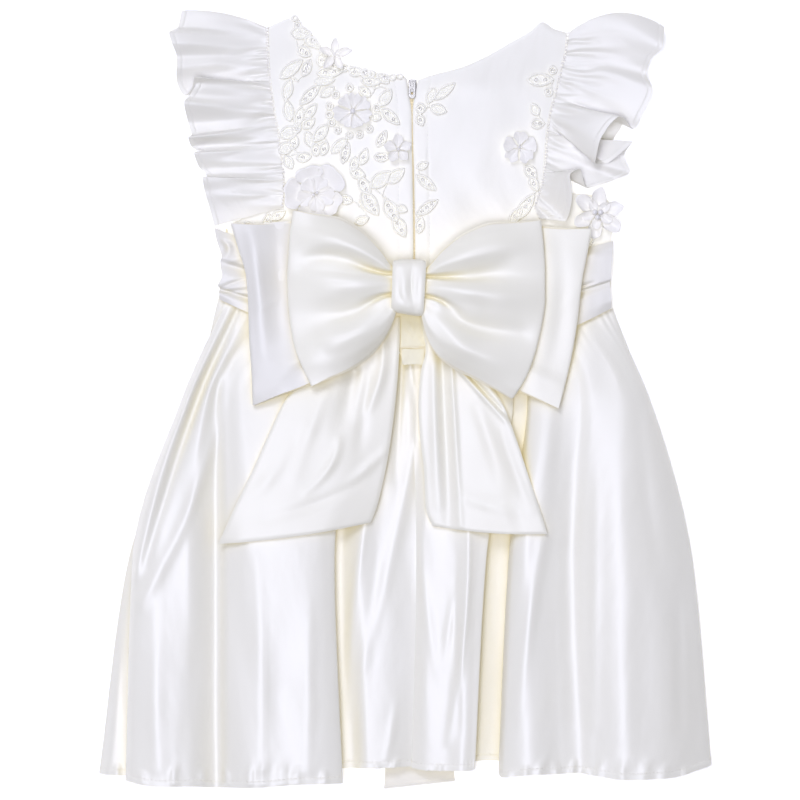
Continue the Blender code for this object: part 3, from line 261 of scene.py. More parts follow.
RIGHT_FRILL = (
    (147.0, 0.1, 119.0, 143.5, 0.6, 0.0),
    (156.0, 0.1, 128.0, 153.0, 1.8, 0.0),
    (168.0, 0.1, 133.0, 167.0, 0.2, 0.0),
    (181.0, 0.1, 140.0, 178.0, 1.8, 0.0),
    (196.0, 0.1, 146.0, 192.0, 0.2, 0.0),
    (210.0, 0.1, 150.0, 208.0, 1.8, 0.0),
    (224.0, 0.1, 156.0, 224.0, 0.4, 1.0),
    (236.5, 1.2, 165.0, 239.0, 3.0, 9.0),
    (239.5, 3.2, 167.6, 243.0, 8.5, 11.0),
    (234.0, 3.8, 166.5, 229.6, 15.0, 7.0),
    (228.5, 3.9, 158.9, 221.5, 11.0, 4.0),
    (222.5, 4.0, 156.3, 212.2, 8.0, 2.0),
    (216.0, 4.2, 159.8, 201.8, 13.0, 1.0),
    (208.0, 4.4, 153.0, 185.6, 12.0, 0.0),
    (200.5, 4.4, 147.6, 176.8, 9.0, 0.0),
    (194.0, 4.4, 138.7, 184.3, 19.0, 0.0),
    (187.5, 4.4, 125.3, 168.0, 20.0, 0.0),
    (181.5, 4.4, 122.4, 153.7, 14.5, 0.0),
    (177.5, 4.4, 129.9, 154.2, 8.5, 0.0),
    (172.5, 4.4, 147.2, 168.1, 14.0, 0.0),
    (167.5, 4.4, 141.5, 158.9, 8.5, 0.0),
    (162.5, 4.4, 145.6, 149.2, 9.0, 0.0),
    (157.5, 4.4, 135.7, 143.7, 6.5, 0.0),
    (152.5, 6.8, 118.3, 138.5, 7.6, 0.0),
    (147.5, 7.0, 112.5, 150.6, 15.0, 0.0),
    (143.0, 7.2, 106.1, 146.0, 18.0, 0.0),
    (137.5, 7.2, 107.8, 133.5, 15.0, 0.0),
    (131.5, 7.2, 103.3, 116.9, 10.0, 0.0),
    (124.5, 7.2, 86.6, 118.7, 8.0, 0.0),
)
FRILL_GAP = 0.9           # from the armhole line, clear of the panel's facets

# The sash. Rows run across the band, from its top edge to its bottom edge.
# y at the side, x at the side, y at the middle, height
SASH_LEFT = (
    (112.8, -124.0, 84.5, 8.6),
    (104.0, -122.3, 77.5, 10.6),
    (94.0, -119.0, 70.5, 10.8),
    (90.5, -120.2, 67.0, 9.2),
    (82.0, -119.0, 60.0, 11.0),
    (75.5, -121.6, 53.5, 10.4),
    (73.0, -120.5, 50.5, 8.9),
    (70.0, -120.9, 42.0, 10.2),
    (66.0, -120.4, 34.6, 8.9),
)
SASH_RIGHT = (
    (104.2, 134.8, 84.5, 8.6),
    (98.0, 134.6, 76.0, 10.6),
    (88.0, 133.8, 66.0, 10.9),
    (79.5, 133.4, 58.0, 10.5),
    (77.2, 132.6, 54.0, 8.9),
    (72.0, 133.1, 47.0, 10.5),
    (66.0, 133.6, 40.0, 10.3),
    (60.6, 133.9, 24.0, 8.6),
)
SASH_LEFT_END = 9.0
SASH_RIGHT_END = -5.0
SASH_TURN = 2.2           # how far the right half's lower corner is drawn back there
SASH_UNDERLAP = 8.1       # top of the right half where it runs under the left one
SASH_OVERLAP = 9.9        # top of the left half there

# The bow's loops. Rows run across the band:
# y at the knot | outer x, y | bow in y | puff in z
FRONT_LOOP_LEFT = (
    (86.5, -72.6, 123.2, 11.0, 1.0),
    (83.5, -74.7, 108.2, 7.0, 6.5),
    (80.0, -75.7, 93.3, 3.0, 2.0),
    (76.0, -76.4, 79.0, 0.0, 7.0),
    (70.5, -75.0, 54.3, -3.0, 1.5),
    (66.0, -71.2, 33.5, -7.0, 6.0),
    (64.5, -60.9, 10.1, -11.0, 0.0),
)
FRONT_LOOP_RIGHT = (
    (86.5, 87.4, 116.9, 11.0, 1.0),
    (83.5, 89.2, 101.0, 6.0, 6.5),
    (79.5, 90.2, 82.0, 0.0, 2.0),
    (74.0, 90.2, 66.3, -1.0, 7.0),
    (68.0, 85.8, 39.3, -3.0, 1.5),
    (64.0, 78.3, 16.7, -5.0, 6.0),
    (60.0, 69.7, 2.1, -8.0, 0.5),
)
BACK_LOOP_LEFT = (
    (86.0, -112.9, 115.0, 14.0, 0.0),
    (83.0, -108.0, 98.0, 8.0, 2.5),
    (78.0, -103.2, 81.2, 3.0, 1.0),
    (73.0, -101.7, 60.0, 0.0, 2.5),
    (68.0, -101.2, 41.4, -4.0, 1.0),
    (64.5, -99.5, 18.0, -8.0, 2.5),
    (61.5, -98.7, -2.3, -13.0, 0.0),
)
BACK_LOOP_RIGHT = (
    (86.0, 120.6, 111.8, 13.0, 0.0),
    (83.0, 117.5, 95.0, 7.0, 2.5),
    (78.0, 114.4, 79.2, 3.0, 1.0),
    (72.0, 111.7, 55.6, 0.0, 2.5),
    (67.0, 107.4, 28.6, -4.0, 1.0),
    (63.5, 103.0, 10.0, -8.0, 2.5),
    (60.5, 99.3, -4.2, -11.0, 0.0),
)
LOOP_ROOTS = (-3.0, 8.0)  # x where the loops end inside the knot
# Height of a pair of loops' under face, and from there to the upper face at the knot and
# at the outer fold
BACK_LOOP_HEIGHTS = (17.6, 3.0, 3.6)
FRONT_LOOP_HEIGHTS = (21.2, 5.2, 3.8)
OUTER_DROP = 3.0          # how far a loop sinks from the knot to its outer fold
LOOP_BELLY = {"left": 43.0, "right": 70.0}     # how the front loops' lower edges hang at the knot
LOOP_PEEP = 0.7           # how far a loop's lower layer shows beyond its upper one

# The knot: centre, and half the band's ring across Y and Z
KNOT_CENTRE = (1.9, 73.8, 23.3)
KNOT_HALF_Y = 16.3
KNOT_HALF_Z = 8.6
KNOT_WALL = 1.6
KNOT_LEFT = (-7.2, -8.2)                   # x of the band's edges at its top and bottom
KNOT_RIGHT = (12.4, 10.6)
KNOT_TILT = 0.16                           # slope of the band's lower edge, down to the right

# The tails. Rows run from the knot to the cut end: left x, y | right x, y
TAIL_LEFT = (
    (-12.0, 54.0, -3.3, 54.6),
    (-40.0, 33.0, -4.0, 34.0),
    (-60.0, 18.0, -5.0, 16.0),
    (-75.0, 5.1, -6.8, -3.0),
    (-88.8, -22.2, -10.0, -28.0),
    (-98.5, -44.0, -14.5, -52.0),
    (-109.3, -66.0, -18.5, -68.0),
    (-121.0, -92.0, -22.4, -78.3),
)
TAIL_RIGHT = (
    (9.0, 54.6, 18.0, 54.0),
    (13.0, 34.0, 35.0, 32.0),
    (9.8, 18.5, 49.0, 18.0),
    (8.3, -3.0, 63.0, -2.0),
    (9.5, -24.0, 71.5, -24.0),
    (11.8, -45.0, 79.3, -47.8),
    (13.0, -69.0, 87.5, -72.0),
    (17.5, -80.5, 91.7, -85.5),
)
TAIL_SAG = 2.0            # the cut end's curve
TAIL_ROOT = 14.4          # top of the tail under the knot

# Creases and soft ridges. Each runs through three points:
# start x, y | middle x, y | end x, y | width at start, at end | rise at start, middle, end
SKIRT_CREASES = (
    (-113.0, 62.0, -148.5, -20.5, -174.5, -112.0, 3.0, 3.6, 1.2, 2.2, 1.6),
    (-110.0, 58.0, -142.0, -20.0, -168.0, -104.0, 2.6, 3.4, -1.6, -3.2, -1.4),
    (-117.0, 22.0, -134.0, -55.0, -171.0, -130.0, 3.4, 4.0, 0.8, 2.4, 1.8),
    (-182.3, -122.5, -183.6, -187.5, -182.3, -241.5, 2.0, 2.5, -0.2, -0.5, -0.3),
    (-118.6, 15.0, -118.5, -30.0, -117.0, -70.0, 3.0, 4.0, 0.8, 1.6, 0.5),
    (-159.6, -153.0, -161.5, -194.0, -159.6, -236.0, 5.0, 5.0, 0.3, 1.4, 0.9),
    (-109.5, -101.0, -105.6, -155.0, -101.0, -209.0, 7.0, 7.0, -0.3, -1.4, -0.6),
    (-96.5, -101.0, -93.3, -155.0, -93.3, -236.0, 3.6, 4.0, 0.4, 1.4, 1.0),
    (-81.6, -150.0, -80.3, -187.5, -78.3, -222.0, 10.0, 10.0, -0.4, -2.4, -0.8),
    (-62.0, -129.0, -62.7, -181.0, -63.4, -237.6, 3.6, 4.0, 0.3, 1.2, 0.8),
    (-139.0, -140.0, -137.0, -180.0, -141.0, -225.0, 5.0, 5.0, -0.2, -1.0, -0.4),
    (-10.0, -23.0, -31.5, -112.8, -36.0, -231.0, 3.0, 3.6, 0.5, 1.6, 0.6),
    (8.1, 7.5, -0.3, -60.8, -27.6, -172.6, 2.8, 4.0, 0.9, 1.7, 0.5),
    (-5.5, -194.0, -8.8, -212.0, -12.0, -231.0, 2.2, 3.0, 0.2, 1.0, 0.6),
    (14.0, -66.0, 10.7, -112.8, 22.4, -181.0, 2.4, 3.5, 0.5, 1.3, 0.4),
    (-15.0, -60.0, -20.0, -120.0, -22.0, -190.0, 5.0, 6.0, -0.4, -1.2, -0.4),
    (32.2, -122.5, 27.6, -148.5, 24.4, -172.6, 2.2, 3.0, 0.3, 1.1, 0.4),
    (40.6, -83.5, 38.7, -142.0, 27.6, -220.0, 2.0, 2.8, 0.7, 1.5, 0.8),
    (34.0, -100.0, 32.5, -150.0, 35.0, -215.0, 2.4, 3.0, -0.3, -1.1, -0.5),
    (89.4, -88.0, 80.9, -135.5, 73.1, -200.0, 3.4, 4.4, 1.2, 2.0, 0.8),
    (123.2, -49.0, 121.9, -122.5, 121.9, -209.0, 3.0, 3.6, 0.4, 1.2, 0.7),
    (152.4, -3.6, 157.6, -70.5, 173.9, -144.0, 4.5, 6.0, -0.3, -1.2, -0.4),
    (176.5, -122.5, 177.1, -161.5, 177.1, -215.0, 3.4, 4.0, -0.3, -1.1, -0.6),
    (140.0, -60.0, 143.0, -130.0, 141.0, -215.0, 8.0, 9.0, 0.2, 1.0, 0.6),
    (97.0, 10.0, 92.0, -30.0, 88.0, -90.0, 5.0, 6.0, 0.8, 1.2, 0.4),
    (-2.4, 28.0, -3.6, 4.0, -7.0, -50.0, 2.0, 2.8, -2.6, -2.6, -0.8),
    (3.4, 24.0, 5.0, 4.0, 6.5, -24.0, 2.0, 2.6, 1.2, 1.6, 0.5),
)
SKIRT_CREASE_SHARE = 0.8  # how much of the creases' rise the satin keeps
# Small puckers that rise from the skirt's hem: x, height, lean
HEM_PUCKERS = (
    (-187.0, 12, 1), (-170.0, 9, -1), (-149.0, 14, 1), (-131.0, 10, 0), (-116.0, 11, -1),
    (-100.5, 15, 1), (-92.0, 18, 2), (-79.5, 17, 2), (-70.0, 12, 1), (-52.0, 9, 0),
    (-30.0, 11, 1), (-18.0, 13, -1), (-7.5, 16, 2), (0.0, 8, 0), (14.0, 10, -1), (22.0, 13, 1),
    (66.0, 9, 0), (77.0, 12, 1), (87.0, 18, 2), (97.5, 15, -1), (108.0, 16, 1), (116.5, 10, 0),
    (125.0, 17, 2), (139.5, 18, 1), (154.5, 18, 2), (167.0, 14, 1), (181.0, 11, -1),
)
HEM_Y = -246              # where the puckers start
PUCKER_WIDTH = 2.2
PUCKER_RISE = 1.7
FRONT_LOOP_CREASES = {
    "left": (
        (-7.5, 82.5, -22.0, 84.8, -37.0, 91.0, 1.0, 2.4, -4.6, -3.2, 0.0),
        (-20.0, 85.0, -48.4, 94.5, -67.0, 88.5, 2.6, 5.0, -0.6, -2.6, -0.8),
        (-14.0, 88.0, -40.0, 100.5, -62.0, 104.0, 2.4, 7.0, 0.6, 2.2, 1.0),
        (-7.5, 69.0, -19.8, 66.0, -33.0, 58.0, 1.0, 2.4, -4.6, -3.4, 0.0),
        (-18.0, 66.5, -40.0, 55.0, -64.0, 50.0, 2.4, 7.0, -0.8, -2.2, -0.6),
        (-18.0, 74.0, -40.0, 72.0, -64.0, 72.0, 3.0, 9.0, 0.4, 1.8, 0.8),
        (-14.0, 58.0, -34.0, 44.0, -58.0, 30.0, 3.0, 8.0, 0.4, 1.6, 0.8),
    ),
    "right": (
        (13.3, 80.6, 26.0, 80.6, 40.0, 81.5, 1.0, 2.4, -4.6, -3.2, 0.0),
        (24.0, 80.6, 48.0, 82.5, 66.0, 90.0, 2.4, 6.0, -0.8, -2.4, -0.8),
        (18.0, 86.5, 42.0, 93.0, 70.0, 101.0, 2.6, 7.0, 0.5, 2.0, 1.0),
        (13.3, 67.9, 26.0, 63.5, 38.0, 53.0, 1.0, 2.4, -4.6, -3.6, 0.0),
        (24.0, 64.5, 42.0, 48.5, 74.0, 44.0, 2.6, 6.5, -0.8, -2.8, -1.2),
        (18.0, 74.0, 44.0, 70.0, 76.0, 66.0, 3.0, 9.0, 0.4, 1.6, 1.0),
        (20.0, 56.0, 36.0, 38.0, 62.0, 24.0, 3.0, 9.0, 0.4, 1.8, 0.8),
    ),
}
BACK_LOOP_CREASES = {
    "left": (
        (-96.0, 58.5, -88.0, 62.5, -80.9, 67.0, 1.3, 1.3, 0.1, 0.35, 0.1),
        (-81.0, 112.0, -80.0, 78.0, -79.0, 30.0, 10.0, 8.0, -3.2, -3.4, -1.0),
        (-100.0, 108.0, -95.5, 78.0, -92.0, 30.0, 4.0, 4.0, 1.0, 1.6, 0.5),
    ),
    "right": (
        (99.0, 105.0, 101.0, 60.0, 91.0, 12.0, 5.0, 5.0, -0.3, -1.0, -0.3),
        (109.0, 70.0, 104.0, 62.0, 99.0, 58.0, 1.5, 1.5, 0.1, 0.4, 0.2),
    ),
}
TAIL_CREASES = {
    "left": (
        (-14.3, 39.3, -16.6, 14.0, -27.6, -10.7, 3.0, 3.6, 0.8, 1.6, 0.4),
        (-43.2, -25.7, -48.4, -41.3, -64.0, -58.2, 2.6, 3.0, 0.5, 1.3, 0.4),
        (-33.5, 18.5, -37.4, 1.0, -42.6, -15.3, 5.0, 6.0, -2.0, -1.6, -0.4),
        (-14.3, -33.5, -25.0, -43.0, -35.4, -52.3, 2.6, 3.4, 0.6, 1.1, 0.3),
        (-52.0, 5.0, -62.0, -20.0, -72.0, -48.0, 4.0, 5.0, 0.4, 1.0, 0.4),
        (-75.0, -32.0, -88.0, -50.0, -100.0, -62.0, 4.0, 5.0, 0.2, 0.9, 0.3),
        (-30.0, -52.0, -58.0, -66.0, -90.0, -76.0, 3.0, 4.0, -0.2, -0.8, -0.3),
        (-24.0, 20.0, -27.0, -8.0, -30.0, -30.0, 3.0, 4.0, -0.5, -0.9, -0.3),
    ),
    "right": (
        (23.0, 32.0, 25.6, -20.0, 28.2, -80.0, 3.6, 4.4, -2.0, -2.0, -1.0),
        (29.2, 32.0, 32.0, -20.0, 35.6, -80.0, 1.7, 2.2, 0.9, 1.0, 0.6),
        (33.4, 26.0, 50.0, 7.5, 67.2, -10.7, 0.8, 1.0, -1.0, -1.6, -0.8),
        (31.8, 23.8, 48.2, 5.4, 65.0, -13.0, 1.3, 1.5, 0.8, 1.4, 0.6),
        (19.0, 24.0, 19.5, -20.0, 22.0, -66.0, 3.0, 4.0, 0.8, 1.2, 0.5),
        (62.0, -20.0, 70.0, -45.0, 81.0, -70.0, 3.0, 4.0, 0.4, 1.1, 0.4),
        (47.0, -4.0, 56.0, -30.0, 64.0, -60.0, 4.5, 6.0, -0.6, -1.5, -0.5),
        (37.0, -60.0, 52.0, -66.0, 72.0, -70.0, 4.0, 5.0, 0.3, 0.9, 0.4),
    ),
}
TAIL_CREASE_SHARE = 1.3   # the tails' silk folds more deeply than these rows say
SASH_CREASES = {
    "left": (
        (-120.6, 73.1, -110.8, 77.0, -101.0, 79.6, 0.9, 1.2, -0.9, -1.2, -0.5),
        (-119.3, 71.2, -110.2, 71.8, -101.0, 72.5, 0.9, 1.1, -0.7, -1.0, -0.5),
        (-118.0, 103.7, -114.4, 99.8, -116.4, 94.6, 1.6, 2.4, -1.0, -1.8, -0.6),
        (-119.0, 90.0, -110.0, 92.5, -100.0, 97.0, 1.8, 2.6, 0.4, 0.9, 0.3),
        (-3.0, 54.0, 3.0, 51.0, 8.5, 53.0, 1.1, 1.3, -0.6, -1.0, -0.4),
        (-3.0, 46.5, 2.0, 49.0, 8.0, 45.0, 1.0, 1.2, 0.5, 0.9, 0.4),
        (0.0, 56.0, 1.5, 47.0, 0.5, 39.5, 1.0, 1.1, -0.4, -0.8, -0.4),
        (-3.0, 42.0, 3.0, 43.5, 8.5, 41.0, 1.0, 1.1, -0.5, -0.8, -0.4),
    ),
    "right": (
        (-3.0, 31.5, 3.0, 33.0, 8.5, 30.5, 1.0, 1.2, 0.4, 0.8, 0.3),
        (-3.0, 27.0, 3.0, 28.0, 8.5, 27.5, 0.9, 1.1, -0.4, -0.6, -0.3),
        (112.8, 73.8, 116.7, 75.4, 122.0, 77.0, 1.0, 1.2, -0.9, -1.1, -0.4),
        (112.0, 97.0, 121.0, 95.0, 133.0, 95.5, 2.0, 2.6, 0.2, 0.6, 0.2),
    ),
}
BODICE_CREASES = (
    (24.0, 214.0, 45.0, 207.0, 70.0, 222.0, 7.0, 9.0, 0.2, 0.5, 0.2),
    (30.0, 150.0, 45.0, 130.0, 62.0, 110.0, 9.0, 10.0, -0.1, -0.5, -0.2),
    (60.0, 190.0, 50.0, 165.0, 44.0, 140.0, 10.0, 10.0, 0.1, 0.45, 0.1),
    (-70.0, 225.0, -80.0, 200.0, -78.0, 180.0, 7.0, 8.0, 0.1, 0.4, 0.1),
)

# The sewn flowers: x, y, radius, petals, lift of the petal tips, turn in degrees,
# pointedness of the petals, radius of the pearls, number of pearls
FLOWERS = {
    "flower_left": (-34.1, 188.2, 13.2, 7, 4.0, 30.0, 0.12, 1.75, 1),
    "flower_waist": (-58.5, 134.5, 21.5, 5, 4.5, 38.0, 0.16, 1.1, 2),
    "flower_neck": (-46.0, 225.0, 11.5, 5, 5.0, 12.0, 0.75, 0.9, 1),
    "flower_zip": (-4.6, 163.5, 9.5, 5, 4.0, 20.0, 0.35, 1.0, 1),
    "flower_right": (73.8, 164.8, 12.0, 5, 3.6, 15.0, 0.22, 1.0, 1),
    "flower_side": (124.5, 121.5, 17.5, 6, 4.5, 20.0, 0.45, 1.9, 3),
}
# The round scallops that ring the left flower: their directions in degrees
SCALLOP_TURNS = (9, 98, 136, 167, 188, 208, 231, 261, 286, 313)
SCALLOP_REACH = 15.6
NECK_SCALLOPS = 19        # along the left half's neckline

# The lace leaves of each cluster: hub x, y, then for each leaf
# x, y of its middle | direction in degrees | length | width | sequins
LACE = {
    "lace_shoulder_left": (-70.0, 230.0, (
        (-67.8, 239.3, 0, 11.4, 6.3, 0), (-60.7, 233.4, -25, 8.5, 4.6, 0),
        (-65.8, 227.1, -30, 8.5, 5.2, 2), (-54.3, 222.0, 80, 8.0, 5.0, 1),
    )),
    "lace_armhole_left": (-70.0, 208.0, (
        (-74.1, 215.7, 40, 16.0, 5.8, 0), (-64.1, 216.5, 65, 9.8, 4.6, 3),
        (-76.5, 202.5, 75, 12.0, 5.2, 0),
    )),
    "lace_side_left": (-70.0, 178.0, (
        (-76.1, 188.9, 100, 12.0, 5.2, 0), (-69.0, 184.9, 75, 11.0, 5.0, 1),
        (-61.9, 188.2, 50, 11.0, 4.6, 1), (-62.7, 180.4, 40, 8.0, 4.5, 1),
        (-75.3, 174.7, 20, 12.0, 6.5, 0), (-70.7, 177.4, 60, 7.0, 4.5, 1),
    )),
    "lace_low_left": (-92.0, 107.0, (
        (-82.6, 121.0, 30, 9.0, 4.5, 1), (-90.0, 115.5, 80, 12.0, 5.0, 2),
        (-99.0, 112.0, 140, 12.0, 5.0, 0), (-101.0, 103.0, 200, 11.0, 5.0, 1),
        (-86.0, 101.0, -30, 11.0, 5.0, 0),
    )),
    "lace_neck_left": (-20.0, 203.0, (
        (-13.1, 197.1, 55, 11.0, 5.8, 0), (-32.8, 214.0, -20, 7.0, 5.0, 1),
        (-25.6, 212.6, 0, 6.0, 4.5, 1), (-14.2, 209.6, -40, 7.5, 5.0, 1),
        (-22.5, 207.6, -5, 11.0, 4.6, 1), (-26.5, 200.8, -40, 8.0, 4.5, 1),
    )),
    "lace_mid_left": (-15.5, 190.0, (
        (-15.4, 170.4, 60, 10.0, 4.6, 3), (-9.9, 184.9, -40, 13.5, 5.0, 2),
        (-19.4, 184.3, -5, 6.0, 3.6, 0),
    )),
    "lace_centre_left": (-33.0, 155.0, (
        (-43.0, 166.1, 45, 12.0, 5.0, 0), (-39.1, 161.3, 75, 12.0, 4.6, 3),
        (-27.2, 158.9, 70, 9.5, 5.0, 1), (-33.5, 154.2, 80, 8.0, 4.5, 1),
        (-31.2, 147.9, -20, 9.0, 5.5, 1),
    )),
    "lace_zip_left": (-15.0, 134.0, (
        (-15.4, 158.6, 0, 8.5, 4.6, 3), (-16.2, 144.0, 40, 14.0, 7.0, 0),
        (-6.3, 146.4, 40, 12.0, 6.0, 0), (-9.4, 123.8, -60, 14.0, 7.0, 3),
        (-3.9, 113.5, -60, 13.0, 6.5, 2), (-2.3, 125.0, -20, 6.0, 4.0, 0),
    )),
    "lace_inner_left": (-55.0, 206.0, (
        (-46.2, 218.6, 10, 8.0, 5.0, 1), (-49.3, 213.6, 3, 14.0, 5.4, 2),
        (-52.5, 208.2, 5, 11.0, 4.6, 0), (-50.8, 201.0, 35, 9.0, 4.5, 0),
        (-61.9, 199.2, 45, 16.0, 5.2, 3),
    )),
    "lace_under_left": (-52.0, 169.5, (
        (-54.8, 174.4, 50, 12.0, 5.8, 1), (-62.7, 170.4, 110, 9.0, 5.0, 0),
        (-58.4, 163.5, 100, 7.0, 4.5, 1), (-52.8, 164.3, 70, 8.0, 4.5, 1),
    )),
    "lace_waist_left": (-69.5, 161.0, (
        (-77.5, 164.6, 30, 9.0, 6.0, 0), (-72.5, 168.0, 70, 8.0, 5.0, 1),
        (-66.0, 158.5, 10, 8.0, 5.0, 1), (-76.0, 155.5, 120, 8.0, 4.6, 0),
    )),
    "lace_bow_left": (-30.0, 127.0, (
        (-26.5, 139.6, -60, 11.0, 6.0, 2), (-23.1, 128.6, -55, 16.0, 7.6, 4),
        (-28.3, 117.6, 20, 8.0, 4.5, 0), (-39.0, 131.0, 170, 8.0, 4.6, 1),
    )),
    "lace_zip_right": (14.6, 191.5, (
        (25.4, 201.2, 38, 14.5, 4.4, 0), (16.6, 198.6, 65, 9.0, 4.4, 0),
        (21.3, 189.4, -15, 9.0, 5.0, 0), (9.9, 190.2, 0, 5.4, 5.4, 1),
        (9.6, 182.6, -70, 6.5, 4.4, 1),
    )),
    "lace_upper_right": (8.5, 148.0, (
        (11.0, 153.0, 22, 6.5, 3.8, 0), (13.4, 142.1, -38, 14.0, 4.8, 2),
    )),
    "lace_lower_right": (8.0, 120.0, (
        (14.0, 125.9, 35, 14.5, 5.0, 3), (9.4, 114.5, 80, 9.0, 4.6, 1),
    )),
    "lace_shoulder_right": (95.0, 207.0, (
        (87.6, 208.8, 0, 14.6, 6.5, 2), (95.5, 215.1, 80, 4.5, 4.0, 1),
        (93.0, 201.0, 60, 5.0, 4.0, 1),
    )),
    "lace_armhole_right": (88.0, 183.0, (
        (85.6, 180.2, 5, 7.6, 5.0, 2), (84.0, 189.5, 120, 7.0, 4.4, 0),
    )),
    "lace_side_right": (84.0, 136.0, (
        (81.2, 149.0, -45, 9.0, 5.5, 2), (77.6, 126.4, 55, 18.0, 6.0, 3),
        (71.5, 120.6, 55, 11.0, 5.0, 1), (83.3, 141.2, -60, 8.5, 4.5, 1),
    )),
    "lace_hip_right": (116.0, 99.0, (
        (119.0, 105.0, 60, 8.0, 4.6, 1), (110.5, 103.5, 150, 11.0, 5.0, 0),
        (110.0, 95.5, 200, 11.0, 5.0, 1), (115.5, 92.5, 260, 9.0, 4.6, 0),
    )),
}
LEAF_CORD = 0.68
LEAF_LONGER = 1.15        # the leaves' outer cord, beside the table's lengths and widths
LEAF_WIDER = 1.28
STEM_CORD = 0.48
STEM_REACH = 15.0         # the longest stem from a hub to a leaf


# Grids

def read_rows(rows, knots, places):
    """Rows read between their knots on curves that never overshoot them."""
    rows = np.asarray(rows, float)
    flat = rows.reshape(len(rows), -1)
    knots = np.asarray(knots, float)
    places = np.asarray(places, float)
    spans = np.diff(knots)
    rises = np.diff(flat, axis=0) / spans[:, None]
    slopes = np.zeros_like(flat)
    product = rises[:-1] * rises[1:]
    total = rises[:-1] + rises[1:]
    same_way = product > 0
    slopes[1:-1][same_way] = 2 * product[same_way] / total[same_way]
    slopes[0] = rises[0]
    slopes[-1] = rises[-1]
    index = np.clip(np.searchsorted(knots, places, side="right") - 1, 0, len(spans) - 1)
    span = spans[index][:, None]
    t = (places - knots[index])[:, None] / span
    low, high = flat[index], flat[index + 1]
    value = (
        low * (1 + 2 * t) * (1 - t) ** 2
        + high * t * t * (3 - 2 * t)
        + slopes[index] * span * t * (1 - t) ** 2
        - slopes[index + 1] * span * t * t * (1 - t)
    )
    return value.reshape((len(places),) + rows.shape[1:])


def blend(low, high, t):
    """The values t of the way from low to high."""
    return low + (high - low) * t


def run_lengths(points):
    """The distance along a line of points to each of them."""
    return np.concatenate([[0], np.cumsum(np.linalg.norm(np.diff(points, axis=0), axis=1))])


def along(points, count):
    """Points at even distances along a smooth line through the given points."""
    points = np.asarray(points, float)
    knots = run_lengths(points)
    return read_rows(points, knots, np.linspace(0, knots[-1], count))


def between_rows(rows, per_row):
    """Places for sampling rows: the rows themselves and per_row - 1 places between two."""
    return np.linspace(0, len(rows) - 1, (len(rows) - 1) * per_row + 1)


def spread(rows, count):
    """Rows read at evenly spaced places."""
    return read_rows(rows, range(len(rows)), np.linspace(0, len(rows) - 1, count))


def dense(grid, times):
    """A grid with more rows between its own."""
    return read_rows(grid, range(len(grid)), between_rows(grid, times))


def finer(grid, rows, columns):
    """A grid with more rows and more columns between its own."""
    return dense(dense(grid, rows).transpose(1, 0, 2), columns).transpose(1, 0, 2)


def smooth(t):
    t = np.clip(t, 0, 1)
    return t * t * (3 - 2 * t)


def patch(bottom, top, left, right, across, up):
    """A grid that fills four edge lines, row 0 along the top."""
    bottom, top = along(bottom, across), along(top, across)
    left, right = along(left, up), along(right, up)
    s = np.linspace(0, 1, across)[None, :, None]
    t = np.linspace(0, 1, up)[:, None, None]
    corners = (
        (1 - s) * (1 - t) * bottom[0]
        + s * (1 - t) * bottom[-1]
        + (1 - s) * t * top[0]
        + s * t * top[-1]
    )
    grid = (1 - t) * bottom[None] + t * top[None] + (1 - s) * left[:, None] + s * right[:, None]
    return (grid - corners)[::-1]


def with_height(flat, height):
    """Adds z to a grid of (x, y) points."""
    return np.concatenate([flat, height[..., None]], axis=2)


def lengths(grid, axis):
    """The distance along a grid's rows (axis 0) or columns (axis 1) to each point."""
    steps = np.linalg.norm(np.diff(grid, axis=axis), axis=2)
    start = np.zeros_like(np.take(steps, [0], axis=axis))
    return np.concatenate([start, np.cumsum(steps, axis=axis)], axis=axis)


def crease_rise(x, y, table):
    """How much a table of creases raises the cloth at each (x, y)."""
    rise = np.zeros_like(x)
    steps = np.linspace(0, 1, 17)
    weights = (2 * steps ** 2 - 3 * steps + 1, 4 * steps - 4 * steps ** 2, 2 * steps ** 2 - steps)
    for row in table:
        line = sum(w[:, None] * np.array(row[i:i + 2]) for w, i in zip(weights, (0, 2, 4)))
        first_width, last_width, *rises = row[6:]
        nearest = np.full_like(x, np.inf)
        place = np.zeros_like(x)
        for i, (a, b) in enumerate(zip(line[:-1], line[1:])):
            run = b - a
            t = np.clip(((x - a[0]) * run[0] + (y - a[1]) * run[1]) / run.dot(run), 0, 1)
            away = np.hypot(x - a[0] - run[0] * t, y - a[1] - run[1] * t)
            closer = away < nearest
            nearest = np.where(closer, away, nearest)
            place = np.where(closer, (i + t) / (len(line) - 1), place)
        width = first_width + (last_width - first_width) * place
        rise += np.interp(place, (0, 0.5, 1), rises) * np.exp(-(nearest / width) ** 2)
    return rise


def ripple(x, y, seed, x_pitch, y_pitch, waves=7):
    """A soft, uneven surface between about -1 and 1."""
    draw = random.Random(seed)
    total = np.zeros_like(x)
    for _ in range(waves):
        across = draw.uniform(0.6, 1.5) * 2 * math.pi / x_pitch
        down = draw.uniform(-1.2, 1.2) * 2 * math.pi / y_pitch
        total += np.sin(across * x + down * y + draw.uniform(0, 2 * math.pi))
    return total / waves ** 0.5


# Height fields, one cell to a square millimetre

FIELD_LOW = (-220.0, -275.0)
FIELD_SHAPE = (440, 550)


def height_field(grids, reach):
    """The highest point of the grids within reach of each cell."""
    field = np.zeros(FIELD_SHAPE)
    for grid in grids:
        points = grid.reshape(-1, 3)
        i = (points[:, 0] - FIELD_LOW[0]).astype(int)
        j = (points[:, 1] - FIELD_LOW[1]).astype(int)
        np.maximum.at(field, (i, j), points[:, 2])
    spread = field.copy()
    for di in range(-reach, reach + 1):
        for dj in range(-reach, reach + 1):
            if math.hypot(di, dj) <= reach:
                spread = np.maximum(spread, np.roll(field, (di, dj), axis=(0, 1)))
    return spread


